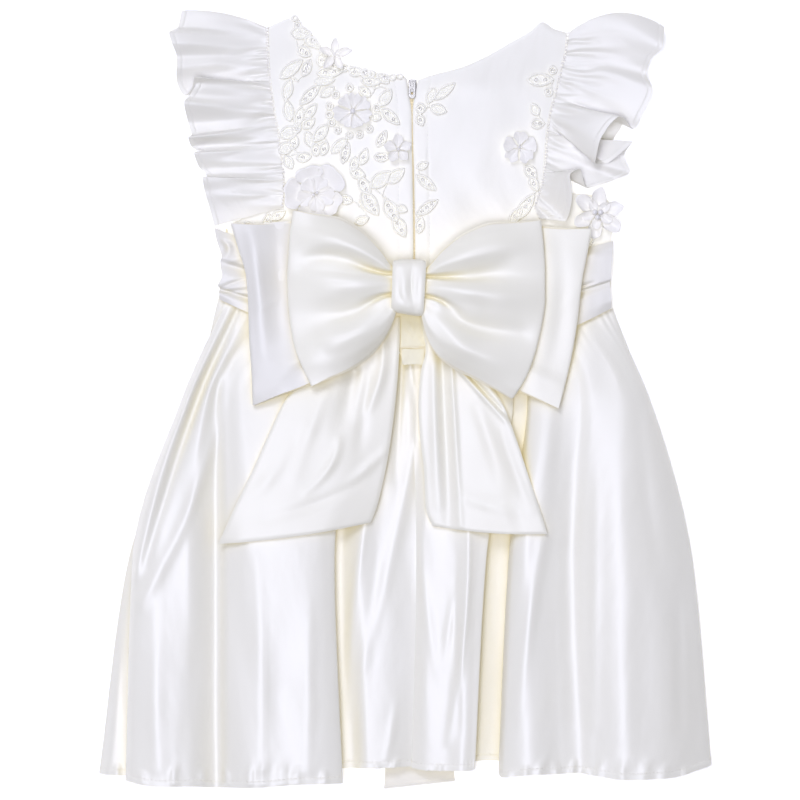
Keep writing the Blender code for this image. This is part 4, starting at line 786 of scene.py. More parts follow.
def height_at(field, x, y):
    i = np.clip(np.asarray(x - FIELD_LOW[0]).astype(int), 0, FIELD_SHAPE[0] - 1)
    j = np.clip(np.asarray(y - FIELD_LOW[1]).astype(int), 0, FIELD_SHAPE[1] - 1)
    return field[i, j]


# Small shapes, gathered into one mesh

class Parts:
    """Points and faces of many small shapes, each with a look's number."""

    def __init__(self):
        self.points, self.faces, self.looks, self.uvs = [], [], [], []

    def add(self, points, faces, look=0, uvs=None):
        start = len(self.points)
        points = [tuple(point) for point in points]
        self.points += points
        self.faces += [tuple(start + i for i in face) for face in faces]
        self.looks += [look] * len(faces)
        self.uvs += [tuple(uv) for uv in uvs] if uvs is not None else [p[:2] for p in points]

    def make(self, name, looks):
        points = (np.array(self.points) + (SHIFT_X, SHIFT_Y, 0)) * MM
        return mesh_piece(name, points, self.faces, np.array(self.uvs) * MM, looks, self.looks)


def mesh_piece(name, points, faces, uvs, looks, face_looks=None):
    mesh = bpy.data.meshes.new(name)
    mesh.from_pydata(np.asarray(points).tolist(), [], [list(map(int, face)) for face in faces])
    corner_points = np.zeros(len(mesh.loops), int)
    mesh.loops.foreach_get("vertex_index", corner_points)
    layer = mesh.uv_layers.new(name="cloth")
    layer.data.foreach_set("uv", np.asarray(uvs, float)[corner_points].ravel())
    for look in looks:
        mesh.materials.append(look)
    if face_looks is not None:
        mesh.polygons.foreach_set("material_index", face_looks)
    mesh.shade_smooth()
    obj = bpy.data.objects.new(name, mesh)
    bpy.context.scene.collection.objects.link(obj)
    return obj


def quads_of(rows, columns, closed=False):
    """Quads over a grid of points, closed across its columns if wanted."""
    faces = []
    for row in range(rows - 1):
        for column in range(columns if closed else columns - 1):
            here, after = row * columns + column, row * columns + (column + 1) % columns
            faces.append((here, after, after + columns, here + columns))
    return faces


def tube(points, radius, sides=6, closed=False):
    """A round cord along points that lie roughly level."""
    points = np.asarray(points, float)
    if closed:
        run = np.roll(points, -1, axis=0) - np.roll(points, 1, axis=0)
    else:
        run = np.gradient(points, axis=0)
    run /= np.linalg.norm(run, axis=1)[:, None] + 1e-9
    side = np.cross(run, (0, 0, 1))
    side /= np.linalg.norm(side, axis=1)[:, None] + 1e-9
    top = np.cross(side, run)
    angles = 2 * math.pi * np.arange(sides) / sides
    ring = radius * (
        side[:, None] * np.cos(angles)[None, :, None] + top[:, None] * np.sin(angles)[None, :, None]
    )
    shape = (points[:, None] + ring).reshape(-1, 3)
    count = len(points)
    faces = quads_of(count, sides, closed=True)
    if closed:
        last = (count - 1) * sides
        faces += [(last + k, last + (k + 1) % sides, (k + 1) % sides, k) for k in range(sides)]
    else:
        faces += [tuple(range(sides))[::-1], tuple((count - 1) * sides + k for k in range(sides))]
    return shape, faces


def ball(centre, radii, turn=0.0, around=10, up=6):
    """A ball with three radii, its first axis turned by an angle about z."""
    points = [(0.0, 0.0, 1.0)]
    for j in range(1, up):
        polar = math.pi * j / up
        for i in range(around):
            angle = 2 * math.pi * i / around
            points.append((math.sin(polar) * math.cos(angle), math.sin(polar) * math.sin(angle),
                           math.cos(polar)))
    points.append((0.0, 0.0, -1.0))
    shape = np.array(points) * radii
    c, s = math.cos(turn), math.sin(turn)
    shape = shape @ np.array([(c, s, 0), (-s, c, 0), (0, 0, 1)]) + centre
    last = len(points) - 1
    faces = [(0, 1 + i, 1 + (i + 1) % around) for i in range(around)]
    faces += [tuple(1 + i for i in face) for face in quads_of(up - 1, around, closed=True)]
    faces = [face if len(face) == 3 else face[::-1] for face in faces]
    base = last - around
    faces += [(last, base + (i + 1) % around, base + i) for i in range(around)]
    return shape, faces


def ring(centre, radius, wire, around=16, sides=6):
    """A round ring that lies level."""
    angles = 2 * math.pi * np.arange(around) / around
    line = np.stack([np.cos(angles) * radius, np.sin(angles) * radius, 0 * angles], axis=1)
    return tube(line + centre, wire, sides, closed=True)


def stitches(parts, line, pitch, length, radius, lift=0.1):
    """Short straight stitches along a line of points."""
    line = np.asarray(line, float)
    away = run_lengths(line)
    places = np.arange(pitch / 2, away[-1], pitch)
    middle = np.stack([np.interp(places, away, line[:, k]) for k in range(3)], axis=1)
    ahead = np.stack([np.interp(places + 0.3, away, line[:, k]) for k in range(3)], axis=1)
    for point, after in zip(middle, ahead):
        run = after - point
        run /= np.linalg.norm(run) + 1e-9
        ends = [point - run * length / 2, point - run * length * 0.3, point + run * length * 0.3,
                point + run * length / 2]
        heights = (-radius, lift, lift, -radius)
        thread = [end + (0, 0, height) for end, height in zip(ends, heights)]
        parts.add(*tube(thread, radius, 5))


# Materials

PAINTED_GLOW = (1.0, 0.86, 0.40, 1.0)         # painted glow: emission for the warm light through satin from behind
PAINTED_WHITE_GLOW = (1.0, 0.98, 0.95, 1.0)   # and painted glow for the light through thread and organza
PAINTED_FOLD_SHADE = (0.74, 0.69, 0.49)       # painted shade: the satin's colour deep between two folds
FOLD_REACH = 0.028                    # how far off the folds may be, in metres
FOLD_ONSET = 0.82                     # share of the sky seen where the painted shade begins
FOLD_END = 0.34                       # and where it is deepest
PAINTED_FOLD_GLOW = 0.12                      # painted glow: emission for light thrown fold to fold, deepest places
FOLD_POWER = 3.0                      # how closely that painted glow keeps to them
FRILL_REACH = 0.016
PAINTED_UNDER_SHADE = (0.70, 0.675, 0.54)     # painted shade of the front panel where the back panels lie over it
FRILL_SHADE = (0.76, 0.75, 0.73)      # the frills between their gathers
LACE_SHADE = (0.72, 0.71, 0.64)       # the bodice's satin close beside the lace
LACE_REACH = 0.003
LACE_ONSET = 0.88


def add_node(tree, kind, inputs=None, **settings):
    made = tree.nodes.new(kind)
    for key, value in settings.items():
        setattr(made, key, value)
    for key, value in (inputs or {}).items():
        if isinstance(value, bpy.types.NodeSocket):
            tree.links.new(value, made.inputs[key])
        else:
            made.inputs[key].default_value = value
    return made


def cloth_place(tree):
    """Where a point lies on its cloth's flat cut."""
    return add_node(tree, "ShaderNodeUVMap", uv_map="cloth").outputs["UV"]


def object_place(tree):
    """Where a point lies on its own object."""
    return add_node(tree, "ShaderNodeTexCoord").outputs["Object"]


def noise(tree, where, scale, detail=2.0):
    return add_node(tree, "ShaderNodeTexNoise", {"Vector": where, "Scale": scale, "Detail": detail})


def ramp(tree, value, low, high):
    """A value from 0 to 1 turned into one from low to high."""
    made = add_node(tree, "ShaderNodeMapRange", {"Value": value, "To Min": low, "To Max": high})
    return made.outputs["Result"]


def stretched(tree, where, x, y, z=1.0):
    made = add_node(tree, "ShaderNodeMapping", {"Vector": where, "Scale": (x, y, z)})
    return made.outputs["Vector"]


def tinted(tree, factor, first, second):
    made = add_node(tree, "ShaderNodeMix", data_type="RGBA")
    tree.links.new(factor, made.inputs[0])
    made.inputs[6].default_value = (*first, 1.0)
    made.inputs[7].default_value = (*second, 1.0)
    return made.outputs[2]


def new_look(name, **sockets):
    look = bpy.data.materials.new(name)
    look.use_nodes = True
    shader = look.node_tree.nodes["Principled BSDF"]
    for key, value in sockets.items():
        shader.inputs[key.replace("_", " ")].default_value = value
    return look, look.node_tree, shader


def join_bump(tree, shader, height, distance, strength=1.0, under=None):
    inputs = {"Height": height, "Distance": distance, "Strength": strength}
    if under is not None:
        inputs["Normal"] = under
    made = add_node(tree, "ShaderNodeBump", inputs)
    tree.links.new(made.outputs["Normal"], shader.inputs["Normal"])
    return made.outputs["Normal"]


def satin_look(name, light, shade, roughness, gloss, crumple, glow, painted_shade=PAINTED_FOLD_SHADE,
               reach=FOLD_REACH, onset=FOLD_ONSET, painted_deep_glow=PAINTED_FOLD_GLOW, thread=0.00002):
    """Satin: long floats along the cloth, fine cross threads, a soft uneven lustre.

    Between two folds, where little sky is seen, shade is painted into the colour, glow into the
    emission.
    """
    look, tree, shader = new_look(
        name, Sheen_Weight=0.25, Sheen_Roughness=0.4, Sheen_Tint=(0.88, 0.84, 1.0, 1.0),
        Anisotropic=0.35, Specular_IOR_Level=gloss, Emission_Color=PAINTED_GLOW,
    )
    where = cloth_place(tree)
    cloud = noise(tree, where, 18.0, 3.0).outputs["Fac"]
    colour = tinted(tree, ramp(tree, cloud, 0.0, 1.0), light, shade)
    # Painted shade: where little sky is seen, the colour is mixed toward the darker shade colour.
    sky = add_node(tree, "ShaderNodeAmbientOcclusion", {"Distance": reach}, samples=6)
    depth = add_node(
        tree, "ShaderNodeMapRange",
        {"Value": sky.outputs["AO"], "From Min": onset, "From Max": FOLD_END},
    ).outputs["Result"]
    # Painted glow: a constant emission that grows toward the deepest folds.
    deepest = add_node(tree, "ShaderNodeMath", {0: depth, 1: FOLD_POWER}, operation="POWER")
    painted_glow_strength = ramp(tree, deepest.outputs[0], glow, painted_deep_glow)
    tree.links.new(painted_glow_strength, shader.inputs["Emission Strength"])
    shade_mix = add_node(tree, "ShaderNodeMix", data_type="RGBA")
    tree.links.new(depth, shade_mix.inputs[0])
    tree.links.new(colour, shade_mix.inputs[6])
    shade_mix.inputs[7].default_value = (*painted_shade, 1.0)
    tree.links.new(shade_mix.outputs[2], shader.inputs["Base Color"])
    floats = noise(tree, stretched(tree, where, 5200.0, 420.0), 1.0, 2.0).outputs["Fac"]
    slubs = noise(tree, stretched(tree, where, 60.0, 1500.0), 1.0, 2.0).outputs["Fac"]
    tree.links.new(ramp(tree, floats, *roughness), shader.inputs["Roughness"])
    soft = noise(tree, stretched(tree, where, 55.0, 26.0), 1.0, 2.0).outputs["Fac"]
    under = join_bump(tree, shader, soft, crumple)
    under = join_bump(tree, shader, slubs, thread, 0.6, under)
    join_bump(tree, shader, floats, thread, 0.8, under)
    return look


def woven_look(name, light, shade, roughness, pitch, depth, glow=0.0):
    """A plain weave: threads that cross over and under each other."""
    # glow is a painted glow: emission, though the cloth is no lamp.
    look, tree, shader = new_look(
        name, Roughness=roughness, Sheen_Weight=0.2, Emission_Color=PAINTED_GLOW, Emission_Strength=glow,
    )
    where = cloth_place(tree)
    waves = []
    for direction in ("X", "Y"):
        waves.append(add_node(
            tree, "ShaderNodeTexWave", {"Vector": where, "Scale": 0.314 / pitch, "Distortion": 0.6,
                                        "Detail Scale": 2.0},
            bands_direction=direction,
        ).outputs["Fac"])
    weave = add_node(tree, "ShaderNodeMath", {0: waves[0], 1: waves[1]}, operation="MULTIPLY")
    cloud = noise(tree, where, 40.0, 3.0).outputs["Fac"]
    tree.links.new(tinted(tree, cloud, light, shade), shader.inputs["Base Color"])
    join_bump(tree, shader, weave.outputs[0], depth)
    return look


def thread_look(name, light, shade, glow, depth):
    """Close satin stitch: fine parallel threads across each leaf."""
    # glow is a painted glow: emission, though the thread is no lamp.
    look, tree, shader = new_look(
        name, Roughness=0.38, Sheen_Weight=0.25, Specular_IOR_Level=0.55,
        Emission_Color=PAINTED_WHITE_GLOW, Emission_Strength=glow,
    )
    where = cloth_place(tree)
    threads = add_node(
        tree, "ShaderNodeTexWave", {"Vector": where, "Scale": 420.0, "Distortion": 2.5,
                                    "Detail": 2.0, "Detail Scale": 1.6},
        bands_direction="DIAGONAL",
    ).outputs["Fac"]
    knots = noise(tree, where, 1100.0, 2.0).outputs["Fac"]
    # Painted shade: the threads are darker where the knots' bump is low.
    hollow_shade = add_node(
        tree, "ShaderNodeMapRange", {"Value": knots, "From Min": 0.36, "From Max": 0.56},
    ).outputs["Result"]
    tree.links.new(tinted(tree, hollow_shade, shade, light), shader.inputs["Base Color"])
    under = join_bump(tree, shader, knots, depth * 3)
    join_bump(tree, shader, threads, depth, under=under)
    return look


def organza_look(name, light, shade, alpha):
    """Sheer stiffened organza with fine veins, and a painted glow."""
    look, tree, shader = new_look(
        name, Roughness=0.34, Sheen_Weight=0.3, Sheen_Roughness=0.3, Alpha=alpha,
        Specular_IOR_Level=0.5, Emission_Color=PAINTED_WHITE_GLOW, Emission_Strength=0.12,
    )
    where = cloth_place(tree)
    veins = noise(tree, stretched(tree, where, 260.0, 1500.0), 1.0, 3.0).outputs["Fac"]
    tree.links.new(tinted(tree, veins, light, shade), shader.inputs["Base Color"])
    join_bump(tree, shader, veins, 0.00012)
    return look


def metal_look(name, light, shade, roughness):
    look, tree, shader = new_look(name, Metallic=1.0)
    where = object_place(tree)
    cloud = noise(tree, where, 900.0, 3.0).outputs["Fac"]
    scratches = noise(tree, stretched(tree, where, 9000.0, 900.0, 900.0), 1.0).outputs["Fac"]
    tree.links.new(tinted(tree, cloud, light, shade), shader.inputs["Base Color"])
    tree.links.new(ramp(tree, scratches, *roughness), shader.inputs["Roughness"])
    join_bump(tree, shader, scratches, 0.00001)
    return look


def bead_look(name, light, shade, roughness, metallic=0.0):
    look, tree, shader = new_look(
        name, Roughness=roughness, Metallic=metallic, Coat_Weight=0.6, Coat_Roughness=0.08,
    )
    where = object_place(tree)
    cloud = noise(tree, where, 500.0).outputs["Fac"]
    tree.links.new(tinted(tree, cloud, light, shade), shader.inputs["Base Color"])
    return look


SATIN = satin_look(
    "satin", (0.95, 0.937, 0.82), (0.93, 0.912, 0.78), (0.34, 0.46), 0.85, 0.0006, 0.045,
)
# A darker copy of the satin: painted shade on the front panel, where the back panels lie over it.
SHADED_FRONT_SATIN = satin_look(
    "shaded_front_satin", (0.90, 0.887, 0.80), (0.88, 0.863, 0.76), (0.34, 0.46), 0.85, 0.0006, 0.03,
    PAINTED_UNDER_SHADE, FOLD_REACH, FOLD_ONSET, 0.02,
)
# A darker copy of the satin for the frills: painted shade, deepest between the gathers.
SHADED_FRILL_SATIN = satin_look(
    "shaded_frill_satin", (0.92, 0.905, 0.80), (0.895, 0.877, 0.765), (0.36, 0.48), 0.85, 0.0006, 0.035,
    FRILL_SHADE, FRILL_REACH, 0.72, 0.03,
)
# A darker copy of the satin for the back panels: painted shade, and more of it beside the lace.
SHADED_BODICE_SATIN = satin_look(
    "shaded_bodice_satin", (0.93, 0.918, 0.81), (0.91, 0.895, 0.775), (0.36, 0.46), 0.8, 0.0006, 0.04,
    LACE_SHADE, LACE_REACH, LACE_ONSET,
)
# The bow's satin: the ribbon's own softer lustre, and a brighter colour than the satin, painted light.
LIT_SASH_SATIN = satin_look(
    "sash_satin", (0.965, 0.95, 0.815), (0.95, 0.93, 0.78), (0.40, 0.50), 0.9, 0.0003, 0.045,
)
# A darker copy of the satin: painted shade on the sash's halves and the left back loop.
SHADED_WAIST_SATIN = satin_look(
    "shaded_waist_satin", (0.825, 0.812, 0.73), (0.79, 0.775, 0.685), (0.36, 0.46), 0.85, 0.0005, 0.04,
)
# The tab's satin: darker and yellower than the rest, partly its own cream and partly painted shade
# under the knot and loops; its stronger glow is painted glow.
TAB_SATIN = satin_look(
    "tab_satin", (0.91, 0.88, 0.70), (0.86, 0.83, 0.62), (0.50, 0.65), 0.3, 0.0012, 0.06,
)
# The lining's glow is painted glow.
LINING = woven_look(
    "lining", (0.95, 0.935, 0.85), (0.90, 0.885, 0.80), 0.7, 0.0005, 0.0001, glow=0.12,
)
# The lace's and cord's glow is painted glow, and their darker tone is painted shade in the hollows of
# the threads' bump.
LACE_THREAD = thread_look("lace_thread", (1.0, 0.985, 0.85), (0.74, 0.725, 0.61), 0.20, 0.0002)
CORD = thread_look("lace_cord", (0.98, 0.965, 0.84), (0.90, 0.88, 0.76), 0.11, 0.0001)
SEQUIN = bead_look("sequin", (0.72, 0.70, 0.64), (0.90, 0.88, 0.82), 0.14, 0.25)
PEARL = bead_look("pearl", (0.93, 0.91, 0.85), (0.88, 0.86, 0.80), 0.16)
ORGANZA = organza_look("organza", (0.955, 0.94, 0.875), (0.89, 0.875, 0.82), 0.82)
# The thread's glow is painted glow.
THREAD = woven_look("thread", (0.95, 0.935, 0.88), (0.92, 0.90, 0.83), 0.5, 0.0003, 0.00004, 0.05)
# The zip's tape and coil: their tan is painted shade in the narrow gap between the panels, and their
# glow is painted glow.
TAPE = woven_look("zip_tape", (0.89, 0.81, 0.60), (0.85, 0.76, 0.54), 0.8, 0.0006, 0.0001, 0.10)
COIL = woven_look("zip_coil", (0.88, 0.80, 0.58), (0.83, 0.75, 0.52), 0.5, 0.0004, 0.00005, 0.10)
METAL = metal_look("zip_metal", (0.34, 0.33, 0.30), (0.15, 0.147, 0.13), (0.18, 0.34))


# Pieces

def dress(piece, node=None, body=BODY):
    """Rides a piece on its body, in the place of the frame's node if it has one."""
    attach(piece, body)
    if node:
        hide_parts(node)


def shell(grid, wall, faces_up):
    """A closed wall on the inner side of a grid: its points, its quads and its edge points."""
    rows, columns = grid.shape[:2]
    count = rows * columns
    along_row, along_column = np.gradient(grid, axis=1), np.gradient(grid, axis=0)
    normal = np.cross(along_row, along_column)
    normal /= np.linalg.norm(normal, axis=2)[..., None] + 1e-9
    first = np.cross(grid[0, 1] - grid[0, 0], grid[1, 0] - grid[0, 0])[2] > 0
    turned = first != faces_up
    inner = grid + normal * wall * (1 if turned else -1)
    index = np.arange(count).reshape(rows, columns)
    quads = np.stack([index[:-1, :-1], index[:-1, 1:], index[1:, 1:], index[1:, :-1]], axis=-1)
    quads = quads.reshape(-1, 4)
    edge = np.concatenate([index[0, :-1], index[:-1, -1], index[-1, :0:-1], index[:0:-1, 0]])
    after = np.roll(edge, -1)
    rim = np.stack([after, edge, edge + count, after + count], axis=1)
    quads = np.concatenate([quads, quads[:, ::-1] + count, rim])
    if turned:
        quads = quads[:, ::-1]
    points = np.concatenate([grid.reshape(-1, 3), inner.reshape(-1, 3)])
    return points, quads, np.concatenate([edge, edge + count])


def sharpen(mesh, points):
    """Marks the edges between the given points as sharp, so that a wall's rim is shaded by itself."""
    chosen = np.zeros(len(mesh.vertices), bool)
    chosen[points] = True
    ends = np.zeros(len(mesh.edges) * 2, int)
    mesh.edges.foreach_get("vertices", ends)
    sharp = chosen[ends].reshape(-1, 2).all(axis=1)
    mesh.attributes.new("sharp_edge", "BOOLEAN", "EDGE").data.foreach_set("value", sharp)


def cloth(name, grid, wall, look, node, faces_up=True):
    """A sheet of cloth on a grid, with its wall on the inner side and its flat cut in its UVs."""
    points, quads, edge = shell(grid, wall, faces_up)
    across, down = lengths(grid, 1), lengths(grid, 0)
    middle = grid.shape[1] // 2
    uvs = np.stack([across - across[:, middle:middle + 1], down], axis=2).reshape(-1, 2) * MM
    points = (points + (SHIFT_X, SHIFT_Y, 0)) * MM
    piece = mesh_piece(name, points, quads, np.concatenate([uvs, uvs]), [look])
    sharpen(piece.data, edge)
    dress(piece, node)


def waist_line(x):
    """y of the seam between bodice and skirt, which dips to the centre back."""
    x = np.asarray(x, float)
    left = WAIST_Y + WAIST_LEFT[0] * (x / WAIST_LEFT[1]) ** 2
    right = WAIST_Y + WAIST_RIGHT[0] * (x / WAIST_RIGHT[1]) ** 2
    return np.where(x < SEAM_X, left, right)


# Skirt

def skirt_rows(table):
    """The four level points of each line of the back skirt."""
    rows = []
    for waist_x, waist_z, upper_x, upper_z, lower_x, lower_z, hem_x, hem_z, hem_y in table:
        rows.append([
            (waist_x, waist_line(waist_x) - 0.2, waist_z),
            (upper_x, UPPER_Y, upper_z),
            (lower_x, LOWER_Y, lower_z),
            (hem_x, hem_y, hem_z),
        ])
    return np.array(rows)


def skirt_grid(table, per_row, levels):
    """The back skirt's outer face, row 0 at the waist."""
    rows = skirt_rows(table)
    lines = read_rows(rows, range(len(rows)), between_rows(rows, per_row))
    return read_rows(lines.transpose(1, 0, 2), SKIRT_LEVELS, levels)


def band_lift(x, y):
    """How far a front panel is raised where it lies over the front of the sash."""
    middle = waist_line(x) + SASH_REACH / 2
    return (SASH_WALL + SEAM_GAP) * smooth((SASH_REACH - np.abs(y - middle)) / 10.0)


def skirt_relief(grid):
    """Creases, gathers under the waist, hem puckers and a soft unevenness."""
    x, y = grid[..., 0], grid[..., 1]
    down = lengths(grid, 0)
    across = lengths(grid, 1)
    to_hem = down[-1:] - down
    rise = SKIRT_CREASE_SHARE * crease_rise(x, y, SKIRT_CREASES)
    creases = [
        (hem_x + lean * 0.12 * height, HEM_Y + height, hem_x, HEM_Y + height / 2, hem_x, HEM_Y,
         PUCKER_WIDTH * 0.7, PUCKER_WIDTH, 0.0, PUCKER_RISE, PUCKER_RISE * 0.8)
        for hem_x, height, lean in HEM_PUCKERS
    ]
    rise += crease_rise(x, y, creases)
    gather = np.sin(across[:1] * 1.1 + 2.4 * ripple(across[:1], 0 * across[:1], 5, 30, 30))
    rise += 0.22 * gather * np.exp(-down / 9.0) * smooth(down / 2.0)
    rise += 0.22 * ripple(x, y, 3, 34.0, 150.0) * smooth(down / 12.0)
    sewn = np.exp(-((to_hem - HEM_TURN) / 0.8) ** 2)
    rise += 0.30 * smooth((HEM_TURN + 1.5 - to_hem) / 1.5) - 0.35 * sewn
    rise += 0.12 * np.sin(across * 2.4) * np.exp(-((to_hem - HEM_TURN) / 2.5) ** 2)
    return rise


def level_line(grid, to_hem):
    """The points of a grid that lie a given distance above its last row."""
    down = lengths(grid, 0)
    line = []
    for column in range(grid.shape[1]):
        place = down[-1, column] - to_hem
        line.append([np.interp(place, down[:, column], grid[:, column, k]) for k in range(3)])
    return np.array(line)


def fine_levels(count):
    """Levels of the skirt, closer together toward the hem's stitches."""
    return np.concatenate([np.linspace(0, 0.955, count), np.linspace(0.96, 1.0, 24)])


def make_skirt():
    count = 86
    per_row = 10
    thread = Parts()
    grids = []
    for side, table in (("left", SKIRT_BACK_LEFT), ("right", SKIRT_BACK_RIGHT)):
        grid = skirt_grid(table, per_row, fine_levels(count))
        seam = grid[:, -1] if side == "left" else grid[:, 0]
        seam[:, 0] += SEAM_GAP / 2 if side == "left" else -SEAM_GAP / 2
        grid[..., 2] = np.maximum(grid[..., 2] + skirt_relief(grid), SKIRT_WALL + 1.4)
        cloth("satin_skirt_" + side, grid, SKIRT_WALL, SATIN,
              "skirt_back_" + side)
        stitches(thread, level_line(grid, HEM_TURN), *SKIRT_STITCH, lift=0.12)
        grids.append(grid)
    dress(thread.make("skirt_hem_stitches", [THREAD]))
    rows = spread(SKIRT_FRONT, 60)
    s = np.linspace(0, 1, 90)
    x = blend(rows[:, 0:1], rows[:, 1:2], s)
    y = blend(rows[:, 3:4], rows[:, 2:3], (2 * s - 1) ** 2)
    y[0] = waist_line(x[0]) - 0.2
    wave = 0.25 * (1 + np.clip(ripple(x, y, 8, 45.0, 160.0), -1, 1)) * smooth((30 - y) / 30)
    front = np.stack([x, y, SKIRT_WALL + band_lift(x, y) + wave], axis=2)
    cloth("satin_skirt_front", front, SKIRT_WALL, SHADED_FRONT_SATIN, "skirt_front")
    return grids


def make_lining():
    rows = spread(LINING_ROWS, 80)
    s = np.linspace(0, 1, 40)
    x = blend(rows[:, 0:1], rows[:, 1:2], s)
    y = blend(rows[:, 2:3], rows[:, 3:4], s)
    z = LINING_TOP + 0.15 * ripple(x, y, 9, 18.0, 60.0)
    z[0] = LINING_TOP + SASH_WALL + SEAM_GAP - 0.2
    grid = np.stack([x, y, z], axis=2)
    grid[-8:, :, 2] += 0.25
    cloth("skirt_lining_cloth", grid, LINING_WALL, LINING,
          "skirt_lining")
    thread = Parts()
    low, high = (along(level_line(grid, to_hem), ZIGZAG_TURNS) for to_hem in ZIGZAG_EDGES)
    for first in (0, 1):
        zigzag = [(low if (i + first) % 2 else high)[i] + (0, 0, 0.12) for i in range(ZIGZAG_TURNS)]
        thread.add(*tube(zigzag, ZIGZAG_THREAD, 5))
    stitches(thread, level_line(grid, 4.0), *LINING_STITCH)
    dress(thread.make("lining_hem_stitches", [THREAD]))


# Bodice

def crown(x, y):
    """Top of the bodice's back: highest at the centre, low at the sides and shoulders."""
    x, y = np.asarray(x, float), np.asarray(y, float)
    body = CROWN_SIDE + CROWN_RISE * np.cos(np.pi / 2 * np.clip(np.abs(x) / CROWN_HALF, 0, 1))
    return body + (SHOULDER_HEIGHT - body) * smooth((y - SHOULDER_START) / SHOULDER_RUN)


def bodice_top(x, y):
    """The crown with its soft creases."""
    x, y = np.atleast_1d(np.asarray(x, float)), np.atleast_1d(np.asarray(y, float))
    return crown(x, y) + crease_rise(x, y, BODICE_CREASES) + 0.12 * ripple(x, y, 4, 50.0, 50.0)


def waist_edge(start, end, count=9):
    x = np.linspace(start, end, count)
    return np.stack([x, waist_line(x) + 0.4], axis=1)


def bodice_edges():
    """The four edge lines of each back panel."""
    left_waist = waist_edge(LEFT_SIDE[0][0], LEFT_ZIP_EDGE[0][0])
    right_waist = waist_edge(RIGHT_ZIP_EDGE[0][0], RIGHT_SIDE[0][0])
    return {
        "left": (left_waist, LEFT_NECK, LEFT_SIDE, LEFT_ZIP_EDGE),
        "right": (right_waist, RIGHT_NECK, RIGHT_ZIP_EDGE, RIGHT_SIDE),
    }


PLACKET = 9.5             # from the zip edge to its row of stitches


def make_bodice():
    across, up = ((110, 120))
    thread = Parts()
    for side, edges in bodice_edges().items():
        flat = patch(*edges, across, up)
        x, y = flat[..., 0], flat[..., 1]
        top = bodice_top(x, y).reshape(x.shape)
        grid = with_height(flat, top)
        to_neck, from_edge = lengths(grid, 0), lengths(grid, 1)
        to_zip = from_edge if side == "right" else from_edge[:, -1:] - from_edge
        grid[..., 2] -= 0.5 * np.exp(-to_neck / 0.8) + 0.35 * np.exp(-to_zip / 0.7)
        seam = np.exp(-((to_zip - PLACKET) / 0.7) ** 2)
        pucker = np.sin(y * 1.9 + 1.5 * np.sin(y * 0.23)) * np.exp(-((to_zip - PLACKET + 3) / 4) ** 2)
        strength = 1.0 if side == "right" else 0.4
        grid[..., 2] += strength * (0.10 * pucker - 0.22 * seam)
        cloth("satin_bodice_" + side, grid, BODICE_WALL, SHADED_BODICE_SATIN,
              "bodice_back_" + side)
        column = [np.interp(PLACKET, to_zip[row] if side == "right" else to_zip[row][::-1],
                            np.arange(across)) for row in range(3, up)]
        picks = grid[3:] if side == "right" else grid[3:, ::-1]
        line = [[np.interp(place, range(across), picks[row, :, k]) for k in range(3)]
                for row, place in enumerate(column)]
        stitches(thread, line, *PLACKET_STITCH)
    dress(thread.make("placket_stitches", [THREAD]))
    left = [(x + FRONT_INSET, y) for x, y in LEFT_SIDE[:-1]] + [FRONT_NECK[0]]
    right = [(x - FRONT_INSET, y) for x, y in RIGHT_SIDE[:-1]] + [FRONT_NECK[-1]]
    bottom = waist_edge(left[0][0], right[0][0], 13)
    flat = patch(bottom, FRONT_NECK, left, right, 90, 80)
    lift = band_lift(flat[..., 0], flat[..., 1])
    cloth("satin_bodice_front", with_height(flat, BODICE_WALL + lift), BODICE_WALL, SATIN,
          "bodice_front")


# Frills

def frill_grid(table, side_line, outward, per_row, levels):
    """One frill, row 0 along the armhole's seam."""
    side = np.asarray(side_line, float)
    table = np.asarray(table)
    places = between_rows(table, per_row)
    rows = read_rows(table, range(len(table)), places)
    seam_x = np.interp(rows[:, 0], side[:, 1], side[:, 0]) + outward * FRILL_GAP
    grid = []
    for t in levels:
        x = blend(seam_x, rows[:, 2], t)
        y = blend(rows[:, 0], rows[:, 3], t) + rows[:, 5] * 4 * t * (1 - t)
        rise = smooth(t) * 0.35 + t * 0.65
        z = blend(rows[:, 1], rows[:, 4], rise)
        grid.append(np.stack([x, y, z], axis=1))
    return np.array(grid)


